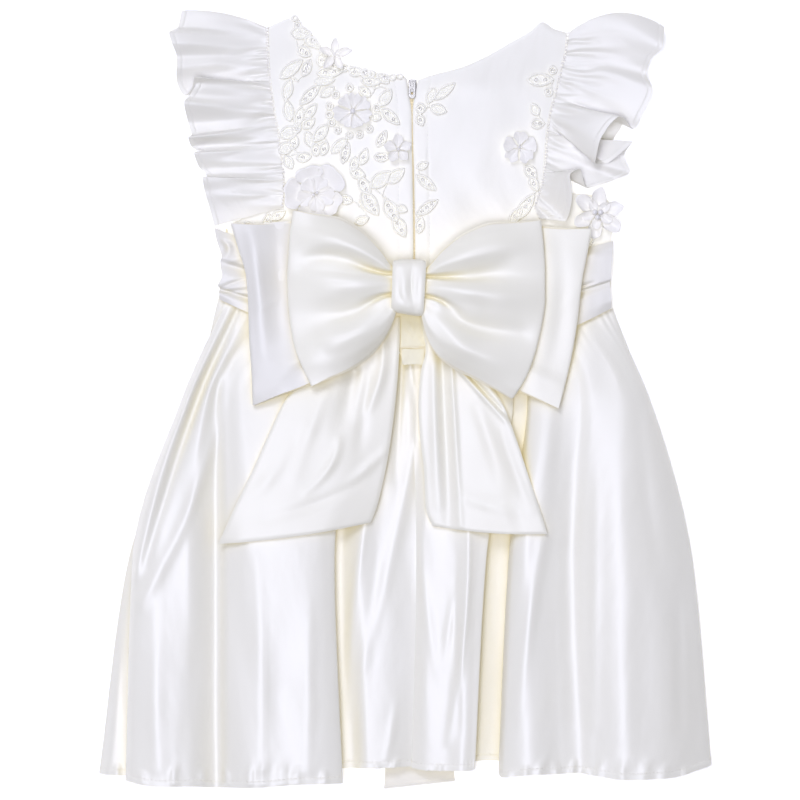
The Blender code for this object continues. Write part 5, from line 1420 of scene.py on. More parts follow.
# The sharper gathers, each from the seam outward:
# start x, y | middle x, y | end x, y | width at the start, end | rise at the start, middle, end
FRILL_CREASES = {
    "left": (
        (-90.0, 228.5, -100.0, 227.4, -110.0, 224.7, 0.9, 2.4, -0.9, -1.1, 0.0),
        (-90.0, 221.7, -106.0, 221.1, -124.0, 221.5, 1.0, 3.2, -1.2, -1.3, 0.0),
        (-88.3, 212.6, -100.0, 211.6, -118.0, 209.0, 0.9, 3.0, -0.9, -1.3, 0.0),
        (-87.8, 203.1, -100.0, 205.7, -114.5, 207.2, 0.9, 3.0, -0.9, -1.4, 0.0),
        (-86.5, 194.9, -100.0, 193.1, -118.0, 191.4, 1.0, 3.2, -1.1, -1.5, 0.0),
        (-84.6, 184.9, -94.6, 183.2, -105.4, 177.8, 0.9, 3.0, -1.1, -1.4, 0.0),
        (-82.9, 176.9, -91.0, 176.5, -107.0, 173.2, 0.8, 2.6, -1.0, -1.2, 0.0),
        (-82.0, 166.0, -96.5, 164.1, -121.0, 157.0, 0.9, 3.0, -1.1, -1.3, -0.3),
        (-80.3, 153.3, -91.0, 151.6, -102.0, 148.9, 0.8, 2.6, -1.0, -1.2, 0.0),
        (-79.3, 142.7, -94.6, 141.6, -116.0, 143.4, 0.9, 3.0, -1.0, -1.3, 0.0),
        (-79.3, 135.0, -88.0, 133.6, -98.0, 130.5, 0.8, 2.6, -0.8, -1.0, 0.0),
        (-90.0, 217.2, -98.0, 217.0, -109.0, 214.2, 0.9, 2.6, 0.5, 0.7, 0.0),
        (-87.0, 199.0, -96.0, 199.4, -108.0, 199.0, 0.9, 2.8, 0.5, 0.8, 0.0),
        (-85.0, 190.0, -94.0, 188.4, -104.0, 185.4, 0.9, 2.6, 0.5, 0.8, 0.0),
        (-81.5, 171.4, -90.0, 170.4, -102.0, 168.0, 0.9, 2.6, 0.5, 0.7, 0.0),
        (-80.0, 147.6, -90.0, 146.6, -101.0, 146.0, 0.9, 2.6, 0.5, 0.7, 0.0),
    ),
    "right": (
        (108.0, 234.3, 118.0, 233.6, 126.0, 236.6, 0.9, 2.4, -1.0, -1.2, 0.0),
        (106.5, 226.3, 122.0, 226.3, 150.0, 225.0, 1.0, 4.0, -1.1, -1.3, -0.2),
        (105.0, 216.9, 118.0, 215.5, 129.0, 219.1, 0.9, 3.0, -0.9, -1.4, 0.0),
        (103.5, 210.4, 122.0, 209.0, 140.0, 206.4, 0.9, 3.4, -1.0, -1.3, 0.0),
        (101.5, 203.9, 108.0, 205.4, 115.0, 207.2, 0.8, 2.2, -0.9, -1.1, 0.0),
        (100.0, 198.1, 112.0, 197.4, 126.0, 196.7, 0.9, 3.0, -1.0, -1.4, 0.0),
        (98.6, 194.0, 112.0, 192.0, 131.0, 185.0, 0.8, 2.6, -1.0, -1.2, 0.0),
        (96.2, 187.5, 107.0, 185.8, 118.0, 185.1, 0.9, 3.0, -0.9, -1.3, 0.0),
        (94.6, 180.0, 103.0, 177.0, 112.0, 172.0, 0.9, 3.0, -0.8, -1.2, 0.0),
        (92.4, 172.0, 99.0, 168.0, 108.0, 163.0, 0.8, 2.2, -0.7, -0.9, 0.0),
        (106.0, 221.6, 116.0, 221.4, 128.0, 223.0, 0.9, 3.0, 0.5, 0.9, 0.0),
        (102.4, 207.2, 110.0, 209.4, 120.0, 212.4, 0.9, 2.6, 0.5, 0.8, 0.0),
        (97.6, 190.4, 106.0, 189.8, 116.0, 188.8, 0.9, 2.4, 0.5, 0.8, 0.0),
    ),
}


def frill_relief(grid, side, seed):
    """The gathers that fan out from the seam, and the stitched hem."""
    across, down = lengths(grid, 1), lengths(grid, 0)
    to_hem = down[-1:] - down
    u = across[:1] + 0 * across
    phase = 1.6 * ripple(u, 0 * u, seed, 26.0, 26.0)
    rise = 0.40 * np.sin(u * 1.6 + phase) * np.exp(-down / 5.0) * smooth(down / 1.5)
    rise += 0.45 * np.sin(u * 0.86 + phase) * np.exp(-down / 22.0) * smooth(down / 3.0)
    rise += 0.30 * ripple(u, down, seed + 1, 11.0, 60.0) * smooth(down / 10.0)
    rise += crease_rise(grid[..., 0], grid[..., 1], FRILL_CREASES[side])
    rise += 0.20 * smooth((FRILL_TURN + 1.0 - to_hem) / 1.0)
    rise -= 0.30 * np.exp(-((to_hem - FRILL_TURN) / 0.6) ** 2)
    return rise


FRILLS = {
    # side: table, seam line, outward, faces up
    "left": (LEFT_FRILL, LEFT_FRILL_SEAM, -1, True),
    "right": (RIGHT_FRILL, RIGHT_FRILL_SEAM, 1, False),
}


def make_frills():
    per_row = 12
    levels = np.concatenate([np.linspace(0, 0.9, 24), np.linspace(0.915, 1, 12)])
    thread = Parts()
    for seed, (side, (table, seam, outward, up)) in enumerate(FRILLS.items()):
        grid = frill_grid(table, seam, outward, per_row, levels)
        rise = frill_relief(grid, side, 20 + seed)
        under = np.array([row[1] < 1.5 for row in table], float)
        hidden = smooth(np.interp(between_rows(table, per_row), range(len(table)), under) * 1.4)
        grid[..., 2] += rise * (1 - hidden)[None, :]
        grid[..., 2] = np.maximum(grid[..., 2], 0.05)
        cloth("satin_frill_" + side, grid, FRILL_WALL, SHADED_FRILL_SATIN,
              "frill_" + side, faces_up=up)
        shown = hidden < 0.5
        stitches(thread, level_line(grid, FRILL_TURN)[shown], *FRILL_STITCH)
        gather_seam(thread, grid[0][shown] - (outward * 0.4, 0, 0), 30 + seed)
    dress(thread.make("frill_stitches", [THREAD]))


def gather_seam(parts, line, seed):
    """The puckered heading of the gathers: a row of small uneven tufts along the seam."""
    draw = random.Random(seed)
    away = run_lengths(line)
    place = 1.0
    while place < away[-1]:
        x, y, z = (np.interp(place, away, line[:, k]) for k in range(3))
        size = draw.uniform(0.7, 1.1)
        centre = (x + draw.uniform(-0.25, 0.25), y, z + 0.15)
        parts.add(*ball(centre, (size * 1.1, size * 0.72, size * 0.5), draw.uniform(-0.4, 0.4), 8, 5))
        place += draw.uniform(1.7, 2.6)


# Sash and bow

def lay_on(grid, below, clearance, reach):
    """Raises a grid's points to lie clear of the cloth below them."""
    grid = grid.copy()
    rest = height_at(height_field(below, reach), grid[..., 0], grid[..., 1])
    grid[..., 2] = np.maximum(grid[..., 2], rest + clearance)
    return grid


def sash_grid(table, end, across, end_height):
    """One half of the sash, row 0 along its top edge, from the side to the knot."""
    rows = np.asarray(table)
    s = np.linspace(0, 1, across)
    y_end = rows[:, 2:3]
    turned = SASH_TURN * smooth((40.0 - y_end) / 4.0) + smooth((30.0 - y_end) / 6.0)
    x = rows[:, 1:2] + (end + (turned if end < 0 else 0.0) - rows[:, 1:2]) * s
    y = rows[:, 0:1] + (y_end - rows[:, 0:1]) * (1 - (1 - s) ** 2)
    z = rows[:, 3:4] - 0.8 * (1 - s) ** 2
    if end < 0:
        z = z + (end_height - z) * smooth((14.0 - x) / 9.0)
    else:
        z = z + (np.maximum(z, end_height) - z) * smooth((x + 24.0) / 12.0)
    return np.stack([x, y, z], axis=2)


def make_sash(skirts):
    halves = {
        "left": sash_grid(SASH_LEFT, SASH_LEFT_END, 11, SASH_OVERLAP),
        "right": sash_grid(SASH_RIGHT, SASH_RIGHT_END, 11, SASH_UNDERLAP),
    }
    made = []
    for side, grid in halves.items():
        grid = lay_on(grid, skirts, SASH_CLEARANCE + SEAM_GAP, SASH_REST)
        grid = finer(grid, 8, 9)
        grid[..., 2] += crease_rise(grid[..., 0], grid[..., 1], SASH_CREASES[side])
        cloth("satin_sash_" + side, grid, SASH_WALL, SHADED_WAIST_SATIN,
              "sash_" + side)
        made.append(grid)
    x = np.broadcast_to(np.linspace(-117.0, 132.0, 90), (18, 90))
    y = waist_line(x) + np.linspace(SASH_REACH - 4, 4, 18)[:, None]
    front = np.stack([x, y, np.full(x.shape, SASH_WALL)], axis=2)
    cloth("satin_sash_front", front, SASH_WALL, LIT_SASH_SATIN, "sash_front")
    return made


def loop_y(knot_y, rise, bow, belly, t):
    """y along a loop's line, drawn together where it enters the knot."""
    spread = 0.62 + 0.38 * float(smooth(t / 0.25))
    middle = KNOT_CENTRE[1]
    swell = math.sin(math.pi * t) ** 1.5
    hang = belly * t ** 0.5 * (1 - t) ** 3
    return middle + (knot_y - middle) * spread + rise * t ** 1.15 + bow * swell - hang


LOOP_PLACES = (0.0, 0.1, 0.2, 0.4, 0.65, 0.87, 1.0)


def loop_grid(table, root, heights, below, belly=0.0):
    """One loop of the bow: out from the knot above, round its outer fold and back below."""
    rows = dense(np.asarray(table), 2)
    seat, root_height, outer_height = heights
    field = height_field(below, LOOP_REACH)
    grid = []
    for i, (knot_y, outer_x, outer_y, bow, puff) in enumerate(rows):
        low = i / (len(rows) - 1)
        hang = belly * float(smooth((low - 0.45) / 0.55))
        peep = LOOP_PEEP * (2 * smooth(1.5 - 3 * low) - 2 * smooth(3 * low - 1.5))
        reach = outer_x - root
        turn = math.copysign(4.0, reach)
        upper, lower = [], []
        for t in LOOP_PLACES:
            x = root + (reach - turn) * t
            y = loop_y(knot_y, outer_y - knot_y, bow, hang, t)
            rest = height_at(field, x, y) + 3 * SEAM_GAP
            under = max(seat - OUTER_DROP * float(smooth((t - 0.1) / 0.5)), rest)
            height = root_height + (outer_height - root_height) * t
            upper.append((x, y, under + height + puff * math.sin(math.pi * t)))
            lower.append((x, y + float(peep) * math.sin(math.pi * t) ** 0.5, under))
        under = lower[-1][2]
        upper[-1] = (outer_x - turn * 0.2, outer_y, under + outer_height * 0.82)
        lower[-1] = (outer_x - turn * 0.3, outer_y, under + outer_height * 0.12)
        fold = (outer_x, outer_y, under + outer_height * 0.5)
        grid.append(upper + [fold] + lower[::-1])
    return np.array(grid).transpose(1, 0, 2)


def fine_loop(grid, creases, seed):
    """A loop's smooth surface, with its creases pressed into the upper layer."""
    upper_rows = len(LOOP_PLACES)
    steps = 8
    columns = 8
    grid = finer(grid, steps, columns)
    last = upper_rows * steps
    upper = grid[:last]
    fade = 1 - smooth((np.arange(last) / last - 0.86) / 0.14)
    rise = crease_rise(upper[..., 0], upper[..., 1], creases)
    rise += 0.12 * ripple(upper[..., 0], upper[..., 1], seed, 40.0, 34.0)
    upper[..., 2] += rise * fade[:, None]
    return grid


def knot_grid(sides, across):
    """The knot: a band wrapped round the middle of the bow."""
    angles = 2 * math.pi * np.arange(sides + 1) / sides
    c, s = np.cos(angles), np.sin(angles)
    y = KNOT_CENTRE[1] + KNOT_HALF_Y * np.sign(c) * np.abs(c) ** 0.55
    z = KNOT_CENTRE[2] + KNOT_HALF_Z * np.sign(s) * np.abs(s) ** 0.6
    low = (KNOT_CENTRE[1] + KNOT_HALF_Y - y) / (2 * KNOT_HALF_Y)
    left = blend(*KNOT_LEFT, low)[:, None]
    right = blend(*KNOT_RIGHT, low)[:, None]
    x = blend(left, right, np.linspace(0, 1, across))
    y = y[:, None] - KNOT_TILT * (x - KNOT_CENTRE[0]) * low[:, None]
    grid = np.stack([x, y, z[:, None] + 0 * x], axis=2)
    return grid, s


KNOT_CREASES = (
    (4.6, 87.0, 3.6, 74.0, 6.0, 60.0, 1.9, 2.4, -0.4, -1.0, -0.6),
    (-2.4, 86.0, -1.0, 74.0, -2.0, 62.0, 2.2, 2.6, 0.3, 0.8, 0.4),
    (-5.0, 72.0, -3.0, 67.0, 0.0, 63.0, 1.4, 1.8, -0.1, -0.6, -0.3),
    (9.0, 82.0, 8.0, 72.0, 8.4, 62.0, 1.6, 2.0, -0.1, -0.7, -0.4),
)
KNOT_ROUND = 1.0          # how far the band's corners are rounded
KNOT_EDGE = 1.2           # and how far its two edges turn down
KNOT_GRID = (96, 33)      # points round the band and across it


def make_knot():
    sides, across = KNOT_GRID
    grid, height = knot_grid(sides, across)
    upper = smooth(height * 3)[:, None]
    column = np.arange(across)
    edge = np.minimum(column, across - 1 - column) / (across - 1)
    corner = KNOT_ROUND * np.exp(-edge / 0.08)[None, :]
    grid[..., 1] -= corner * np.sign(grid[..., 1] - KNOT_CENTRE[1]) * (1 - np.abs(height[:, None]))
    grid[..., 2] -= KNOT_EDGE * np.exp(-edge / 0.05)[None, :] * upper
    grid[..., 2] += crease_rise(grid[..., 0], grid[..., 1], KNOT_CREASES) * upper
    cloth("satin_bow_knot", grid, KNOT_WALL, LIT_SASH_SATIN,
          "bow_knot")


# The crumpled cream tab that holds the bow to the waist, and its rounded end:
# x from, x to | y of the top, y of the bottom | clearance over the sash | crumple
TAB_PARTS = {
    "tab_cloth": (-3.0, 12.6, 60.0, 35.6, 1.0, 0.16),
    "tab_end": (-2.4, 12.0, 34.3, 23.6, 1.5, 0.10),
}
TAB_WALL = 0.8
TAB_ROUND = 1.6           # how far the end's corners are drawn in


def make_tab(sashes):
    field = height_field(sashes, SASH_REST)
    for seed, (name, row) in enumerate(TAB_PARTS.items()):
        left, right, top, bottom, clearance, crumple = row
        s = np.linspace(0, 1, 28)
        t = np.linspace(0, 1, 36)[:, None]
        end = (1 - np.sqrt(1 - (2 * t - 1) ** 4)) * TAB_ROUND if name == "tab_end" else 0 * t
        x = left + end + (right - left - end) * s
        y = top + (bottom - top) * t + 0.5 * np.sin(math.pi * s) * (2 * t - 1)
        z = height_at(field, x, y).max() + clearance
        z = z + crumple * ripple(x, y, 60 + seed, 7.0, 5.0) + 0 * x
        cloth("satin_" + name, np.stack([x, y, z], axis=2), TAB_WALL, TAB_SATIN,
              None)


def tail_grid(table, below):
    """One tail of the bow, lying on the skirt's folds, row 0 under the knot."""
    across = 7
    s = np.linspace(0, 1, across)
    rows = len(table)
    grid = np.zeros((rows, across, 3))
    for i, (left_x, left_y, right_x, right_y) in enumerate(table):
        down = i / (rows - 1)
        grid[i, :, 0] = blend(left_x, right_x, s)
        sag = TAIL_SAG * down ** 4 * 4 * s * (1 - s)
        grid[i, :, 1] = blend(left_y, right_y, s) - sag
    grid[..., 2] = TAIL_ROOT
    grid = lay_on(grid, below, TAIL_CLEARANCE + 2 * SEAM_GAP, TAIL_REACH)
    lowest = grid[..., 2].copy()
    for _ in range(6):
        z = grid[..., 2]
        mean = z.copy()
        mean[1:-1] = (z[:-2] + 2 * z[1:-1] + z[2:]) / 4
        mean[:, 1:-1] = (mean[:, :-2] + 2 * mean[:, 1:-1] + mean[:, 2:]) / 4
        grid[..., 2] = np.maximum(mean, lowest)
    grid[0, :, 2] = TAIL_ROOT
    return grid


def make_tails(below):
    made = []
    for side, table in (("left", TAIL_LEFT), ("right", TAIL_RIGHT)):
        grid = finer(tail_grid(table, below), 12, 10)
        x, y = grid[..., 0], grid[..., 1]
        rise = TAIL_CREASE_SHARE * crease_rise(x, y, TAIL_CREASES[side])
        rise += 0.12 * ripple(x, y, 12, 40.0, 60.0)
        down = lengths(grid, 0)
        grid[..., 2] += rise * smooth(down / 14.0)
        across = lengths(grid, 1)
        edge = np.minimum(across, across[:, -1:] - across)
        edge = np.minimum(edge, down[-1:] - down)
        grid[..., 2] -= 0.9 * np.exp(-(edge / 0.9) ** 2)
        cloth("satin_tail_" + side, grid, TAIL_WALL, LIT_SASH_SATIN,
              "bow_tail_" + side)
        made.append(grid)
    return made


def make_bow(below):
    sides = (
        ("left", LOOP_ROOTS[0], BACK_LOOP_LEFT, FRONT_LOOP_LEFT),
        ("right", LOOP_ROOTS[1], BACK_LOOP_RIGHT, FRONT_LOOP_RIGHT),
    )
    for seed, (side, root, back_table, front_table) in enumerate(sides):
        coarse = loop_grid(back_table, root, BACK_LOOP_HEIGHTS, below)
        back = fine_loop(coarse, BACK_LOOP_CREASES[side], 30 + seed)
        # The left back loop takes the darker copy: painted shade beside the front loop.
        look = SHADED_WAIST_SATIN if side == "left" else LIT_SASH_SATIN
        cloth("satin_back_loop_" + side, back, LOOP_WALL, look,
              "bow_back_loop_" + side)
        coarse = loop_grid(front_table, root, FRONT_LOOP_HEIGHTS, [back], LOOP_BELLY[side])
        front = fine_loop(coarse, FRONT_LOOP_CREASES[side], 40 + seed)
        cloth("satin_front_loop_" + side, front, LOOP_WALL, LIT_SASH_SATIN,
              "bow_front_loop_" + side)
    make_knot()


# Zip

def make_zip():
    low = float(waist_line(SEAM_X)) + 1.0
    y = np.linspace(TAPE_END, low, 120)[:, None]
    for side, start, end in (("left", -TAPE_WIDTH / 2, -0.2), ("right", 0.2, TAPE_WIDTH / 2)):
        x = SEAM_X + np.linspace(start, end, 14)[None, :] + 0 * y
        inner = np.abs(x - SEAM_X)
        z = TAPE_TOP - 0.5 * np.exp(-inner / 1.2) + 0 * y
        grid = np.stack([x, y + 0 * x, z], axis=2)
        cloth("zip_tape_" + side, grid, 0.5, TAPE,
              "zip_tape")
    coil = Parts()
    for i in range(int((TAPE_END - low - 2) / COIL_PITCH)):
        side = 1 if i % 2 else -1
        centre = (SEAM_X + side * COIL_SIDE, TAPE_END - 2 - i * COIL_PITCH, TAPE_TOP + 0.45)
        coil.add(*ball(centre, COIL_TOOTH, 0.12 * side, 8, 5))
    dress(coil.make("zip_coil", [COIL]))


def make_slider():
    slider = Parts()
    (x0, y0, z0), (x1, y1, _) = [[v / MM for v in corner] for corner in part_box("zip_slider")]
    x0, x1, y0, y1 = x0 - SHIFT_X, x1 - SHIFT_X, y0 - SHIFT_Y, y1 - SHIFT_Y
    middle, half = (x0 + x1) / 2, (x1 - x0) / 2
    for side in (-1, 1):
        edge = middle + side * half
        line = [(edge - side * 0.5, y1 - 0.4, z0 + 0.8), (edge - side * 0.35, (y0 + y1) / 2, z0 + 0.8),
                (middle + side * half * 0.62, y0 + 0.3, z0 + 0.8)]
        slider.add(*tube(along(line, 10), 0.42, 8))
    dress(slider.make("zip_slider_rims", [METAL]))
    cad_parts["zip_slider"].data.materials.clear()
    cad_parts["zip_slider"].data.materials.append(METAL)


def make_pull():
    """The flat pull tab with its two windows, which swings on the slider."""
    axis_x, axis_y, axis_z = PULL_AXIS
    width = PULL_WIDTH / 2
    tip = [
        (width * math.cos(math.radians(a)) * (0.75 if a % 90 else 1.0), -PULL_LENGTH + width * 0.6
         + width * 0.6 * math.sin(math.radians(a)))
        for a in range(180, 361, 10)
    ]
    outline = [(width, PULL_BAR), (-width, PULL_BAR)] + tip
    upper = [(-1.0, -PULL_BAR), (1.0, -PULL_BAR), (1.0, -PULL_WINDOW), (-1.0, -PULL_WINDOW)]
    lower = [(-0.9, -4.4), (0.9, -4.4), (0.9, -8.2), (-0.9, -8.2)]
    curve = bpy.data.curves.new("zip_pull_tab", "CURVE")
    curve.dimensions = "2D"
    curve.fill_mode = "BOTH"
    curve.extrude = PULL_BAR * 0.55 * MM
    curve.bevel_depth = PULL_BAR * 0.4 * MM
    curve.bevel_resolution = 2
    for line in (outline, upper, lower):
        spline = curve.splines.new("POLY")
        spline.points.add(len(line) - 1)
        for point, (x, y) in zip(spline.points, line):
            point.co = (x * 0.97 * MM, y * 0.99 * MM, 0.0, 1.0)
        spline.use_cyclic_u = True
    tab = bpy.data.objects.new("zip_pull_tab", curve)
    tab.location = ((axis_x + SHIFT_X) * MM, (axis_y + SHIFT_Y) * MM, axis_z * MM)
    bpy.context.scene.collection.objects.link(tab)
    curve.materials.append(METAL)
    dress(tab, "zip_pull", body=PULL_BODY)


# Lace

def leaf(parts, x, y, direction, length, width, sequins):
    """An embroidered leaf: a cord outline round satin stitch or a chain of sequins."""
    turn = math.radians(direction)
    c, s = math.cos(turn), math.sin(turn)
    length, width = length * LEAF_LONGER, width * LEAF_WIDER

    def laid(u, v, lift):
        px, py = x + u * c - v * s, y + u * s + v * c
        return np.stack([px, py, bodice_top(px, py) + lift], axis=-1)

    place = np.linspace(0, 1, 15)
    u = (place - 0.5) * length
    half = width / 2 * np.sin(math.pi * place ** 0.9) ** 0.85
    rim_u = np.concatenate([u, u[-2:0:-1]])
    rim_v = np.concatenate([half, -half[-2:0:-1]]) * 0.92
    parts.add(*tube(laid(rim_u, rim_v, 0.75 + 0 * rim_u), LEAF_CORD, 6, closed=True), 1)
    across = np.linspace(-1, 1, 9)
    grid_u = np.repeat(u[:, None], 9, axis=1)
    grid_v = half[:, None] * across * 0.86
    dome = 0.35 if sequins else 0.8
    lift = 0.15 + dome * (1 - across ** 2) * np.sqrt(half / half.max() + 1e-9)[:, None]
    if not sequins:
        lift -= 0.6 * np.exp(-(across / 0.2) ** 2)
    lift += 0.22 * np.sin(grid_u * 3.1 + np.abs(grid_v) * 2.4) * (1 + np.cos(grid_v * 2.1))
    fill = laid(grid_u.ravel(), grid_v.ravel(), lift.ravel())
    parts.add(fill, quads_of(15, 9), 0, np.stack([grid_u.ravel(), grid_v.ravel()], axis=1))
    for i in range(sequins):
        spot = (i + 0.5) / sequins * 0.72 + 0.14 if sequins > 1 else 0.46
        centre = laid(np.array([(spot - 0.5) * length]), np.array([0.0]), np.array([0.75]))[0]
        add_sequin(parts, centre)


def add_sequin(parts, centre):
    """A small clear ring sewn down through its middle."""
    parts.add(*ring(centre, 0.92, 0.34), 2)
    parts.add(*ball(centre - (0, 0, 0.1), (0.42, 0.42, 0.35), 0.0, 8, 4), 1)


def scallop(parts, x, y, radius, sequin=True):
    """A round stitched scallop, most often with a sequin in it."""
    angles = np.linspace(0, 2 * math.pi, 19)[:-1]
    px, py = x + radius * np.cos(angles), y + radius * np.sin(angles)
    parts.add(*tube(np.stack([px, py, bodice_top(px, py) + 0.62], axis=1), LEAF_CORD, 6, True), 1)
    base = float(bodice_top(x, y)[0])
    parts.add(*ball((x, y, base), (radius, radius, 0.6), 0.0, 18, 6), 0)
    if sequin:
        add_sequin(parts, np.array([x, y, base + 0.8]))


def stem(parts, start, end, bend):
    """A thin cord from a cluster's hub to a leaf."""
    start, end = np.array(start, float), np.array(end, float)
    run = end - start
    side = np.array([-run[1], run[0]])
    s = np.linspace(0, 1, 9)[:, None]
    flat = start + run * s + side * bend * 4 * s * (1 - s)
    height = bodice_top(flat[:, 0], flat[:, 1]) + 0.25
    parts.add(*tube(with_height(flat[None], height[None])[0], STEM_CORD, 5), 1)


def make_lace():
    draw = random.Random(7)
    for name, (hub_x, hub_y, leaves) in LACE.items():
        parts = Parts()
        for x, y, direction, length, width, sequins in leaves:
            leaf(parts, x, y, direction, length, width, sequins)
            turn = math.radians(direction)
            reach = length / 2 * np.array([math.cos(turn), math.sin(turn)])
            ends = [(x - reach[0], y - reach[1]), (x + reach[0], y + reach[1])]
            near = min(ends, key=lambda end: math.hypot(end[0] - hub_x, end[1] - hub_y))
            away = math.hypot(near[0] - hub_x, near[1] - hub_y)
            if 0.5 < away < STEM_REACH:
                stem(parts, (hub_x, hub_y), near, draw.uniform(-0.18, 0.18))
        if name == "lace_neck_left":
            centre_x, centre_y = FLOWERS["flower_left"][:2]
            for angle in SCALLOP_TURNS:
                turn = math.radians(angle)
                scallop(parts, centre_x + SCALLOP_REACH * math.cos(turn),
                        centre_y + SCALLOP_REACH * math.sin(turn), 2.1)
            for i, (x, y) in enumerate(along(LEFT_NECK[1:-1], NECK_SCALLOPS)):
                radius = (1.5, 2.2, 1.8)[i % 3]
                scallop(parts, x - 0.5 * radius, y - 0.9 * radius, radius, sequin=i % 3 == 1)
        base = float(bodice_top(hub_x, hub_y)[0])
        parts.add(*ball((hub_x, hub_y, base + 0.5), (0.9, 0.9, 0.7), 0.0, 8, 5), 1)
        dress(parts.make("applique_" + name[5:], [LACE_THREAD, CORD, SEQUIN]), name)


# Flowers

DOUBLE_FLOWERS = ("flower_waist", "flower_side")
INNER_PETALS = 5          # the second, smaller round of petals in a double flower
INNER_REACH = 0.62


def petal(parts, x, y, base, radius, angle, spread, lift, point, draw):
    """One petal, spoon-shaped, with soft pleats that run out from the middle."""
    rows, columns = 16, 25
    s = np.linspace(0.06, 1, rows)[:, None]
    t = np.linspace(-1, 1, columns)[None, :]
    wave = draw.uniform(0, 2 * math.pi)
    notch = 0.13 * np.exp(-(t / 0.22) ** 2) if point < 0.3 else 0.0
    ragged = 0.025 * np.sin(t * 9 + wave)
    tip = 1 - point * np.abs(t) ** 1.3 - 0.12 * np.abs(t) ** 4 - notch + ragged
    reach = radius * s * (1 + (tip - 1) * s ** 2) * draw.uniform(0.90, 1.05)
    half = spread * (0.50 + 0.50 * s ** 0.7)
    turn = angle + t * half + draw.uniform(-0.10, 0.10)
    cup = draw.uniform(0.6, 1.3)
    height = (
        lift * s ** 1.4 * draw.uniform(0.6, 1.15)
        + cup * 0.9 * t ** 2 * s * (1 - 0.3 * s)
        - 0.8 * np.exp(-(t / 0.35) ** 2) * s * (1 - s) * 2
        + 0.22 * np.sin(t * 7 + wave) * s ** 0.6
        + 0.45 * np.sin(t * 3.2 + wave) * s ** 2.5
    )
    px, py = x + reach * np.cos(turn), y + reach * np.sin(turn)
    grid = np.stack([px, py, base + height], axis=2).reshape(-1, 3)
    uvs = np.stack([reach + 0 * t, t * half * radius + 0 * s], axis=2).reshape(-1, 2)
    parts.add(grid, quads_of(rows, columns), 0, uvs)


def make_flowers():
    draw = random.Random(11)
    for name, (x, y, radius, petals, lift, turn, point, pearl, pearls) in FLOWERS.items():
        base = float(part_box(name)[0][2]) / MM + 0.5
        parts = Parts()
        for i in range(petals):
            angle = math.radians(turn) + 2 * math.pi * i / petals
            petal(parts, x, y, base + 0.25 * (i % 2), radius, angle, math.pi / petals * 1.12, lift,
                  point, draw)
        for i in range(INNER_PETALS if name in DOUBLE_FLOWERS else 0):
            angle = math.radians(turn + 25) + 2 * math.pi * i / INNER_PETALS
            petal(parts, x, y, base + 0.8, radius * INNER_REACH, angle,
                  math.pi / INNER_PETALS * 1.05, lift * 0.7, point, draw)
        flower = parts.make("organza_" + name, [ORGANZA])
        solidify = flower.modifiers.new("wall", "SOLIDIFY")
        solidify.thickness = 0.12 * MM
        dress(flower, name)
        middle = Parts()
        for i in range(pearls):
            angle = 2 * math.pi * i / pearls + 0.5
            away = 0.0 if pearls == 1 else pearl * 1.15
            centre = (x + away * math.cos(angle), y + away * math.sin(angle), base + 1.0 + pearl)
            middle.add(*ball(centre, (pearl,) * 3, 0.0, 18, 12))
        for i in range(5):
            angle = 2 * math.pi * i / 5
            centre = (x + radius * 0.16 * math.cos(angle), y + radius * 0.16 * math.sin(angle),
                      base + 0.9)
            middle.add(*ball(centre, (0.45, 0.45, 0.45), 0.0, 8, 5))
        dress(middle.make("pearls_" + name, [PEARL]))


# Floor, lights and camera

FLOOR_SIZE = 8.0
FLOOR_DROP = 0.0002        # the floor lies this far below the cloth, in metres
FLOOR_COLOUR = (0.97, 0.97, 0.97, 1.0)
FLOOR_GLOW = 0.45
ROOM_COLOUR = (0.895, 0.89, 1.18, 1.0)
ROOM_LIGHT = (0.16, 0.07)  # the room's light from the left and from the right
# name, place, size, watts, colour
LIGHTS = (
    ("overhead", (-0.2, -0.25, 2.8), 1.3, 41.5, (0.965, 0.98, 1.175)),
    ("key_box", (-0.5, 1.3, 2.05), 0.8, 18.5, (0.96, 0.98, 1.185)),
)


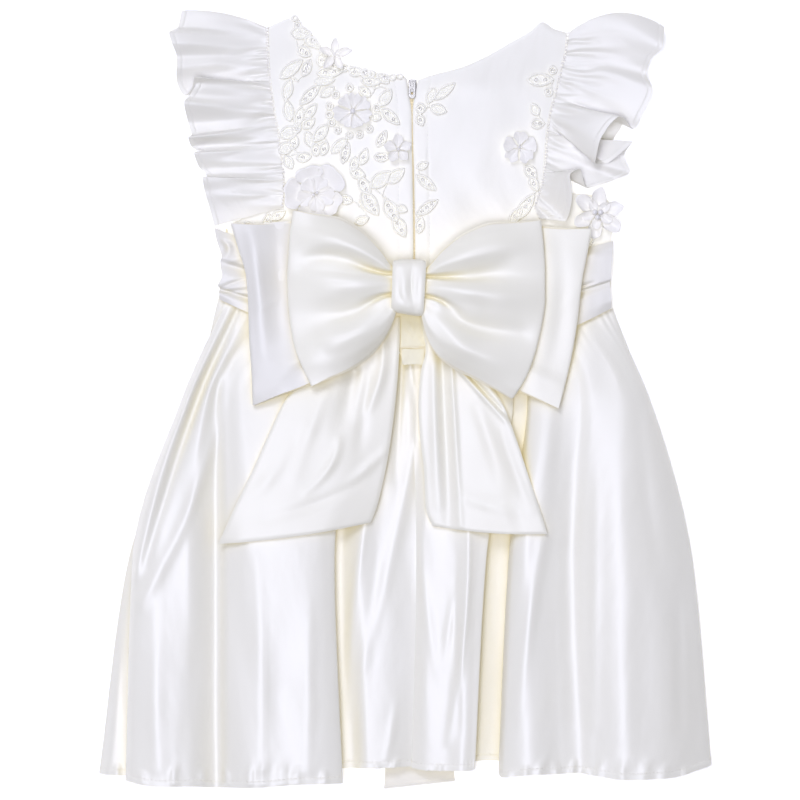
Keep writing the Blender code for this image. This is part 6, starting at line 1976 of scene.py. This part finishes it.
def make_studio():
    bpy.ops.mesh.primitive_plane_add(size=FLOOR_SIZE, location=(0, 0, -FLOOR_DROP))
    floor = bpy.context.object
    floor.name = "floor"
    look, _, _ = new_look(
        "pale_floor", Roughness=0.9, Base_Color=FLOOR_COLOUR,
        Emission_Color=(1.0, 1.0, 1.0, 1.0), Emission_Strength=FLOOR_GLOW,
    )
    floor.data.materials.append(look)

    for name, place, size, watts, colour in LIGHTS:
        lamp = bpy.data.lights.new(name, "AREA")
        lamp.size = size
        lamp.energy = watts
        lamp.color = colour
        obj = bpy.data.objects.new(name, lamp)
        obj.location = place
        toward = -np.array(place, float)
        obj.rotation_euler = (
            math.acos(-toward[2] / np.linalg.norm(toward)), 0.0,
            math.atan2(toward[1], toward[0]) - math.pi / 2,
        )
        bpy.context.scene.collection.objects.link(obj)
    world = bpy.data.worlds.new("soft_room")
    world.use_nodes = True
    background = world.node_tree.nodes["Background"]
    background.inputs["Color"].default_value = ROOM_COLOUR
    way = add_node(world.node_tree, "ShaderNodeTexCoord").outputs["Generated"]
    way = add_node(world.node_tree, "ShaderNodeSeparateXYZ", {"Vector": way}).outputs["X"]
    from_left = add_node(world.node_tree, "ShaderNodeMapRange", {
        "Value": way, "From Min": -1.0, "From Max": 1.0,
        "To Min": ROOM_LIGHT[0], "To Max": ROOM_LIGHT[1],
    }).outputs["Result"]
    world.node_tree.links.new(from_left, background.inputs["Strength"])
    bpy.context.scene.world = world


PIXEL = 0.65              # millimetres of the gown to a pixel of the 800 x 800 frame
CAMERA_HEIGHT = 3.0
FRAME_HALF = 400
AXIS_PIXEL = (405.5, 401.5)


def make_camera():
    camera = bpy.data.cameras.new("camera")
    camera.sensor_width = 36.0
    camera.lens = 18.0 * CAMERA_HEIGHT / (FRAME_HALF * PIXEL * MM)
    obj = bpy.data.objects.new("camera", camera)
    obj.location = (
        (SHIFT_X + (FRAME_HALF - AXIS_PIXEL[0]) * PIXEL) * MM,
        (SHIFT_Y + (AXIS_PIXEL[1] - FRAME_HALF) * PIXEL) * MM,
        CAMERA_HEIGHT,
    )
    bpy.context.scene.collection.objects.link(obj)
    bpy.context.scene.camera = obj
    bpy.context.scene.view_settings.view_transform = "Standard"


make_studio()
make_camera()
skirts = make_skirt()
make_lining()
make_bodice()
make_frills()
sashes = make_sash(skirts)
make_tab(sashes)
tails = make_tails(skirts + sashes)
make_bow(skirts + sashes + tails)
make_zip()
make_slider()
make_pull()
make_lace()
make_flowers()
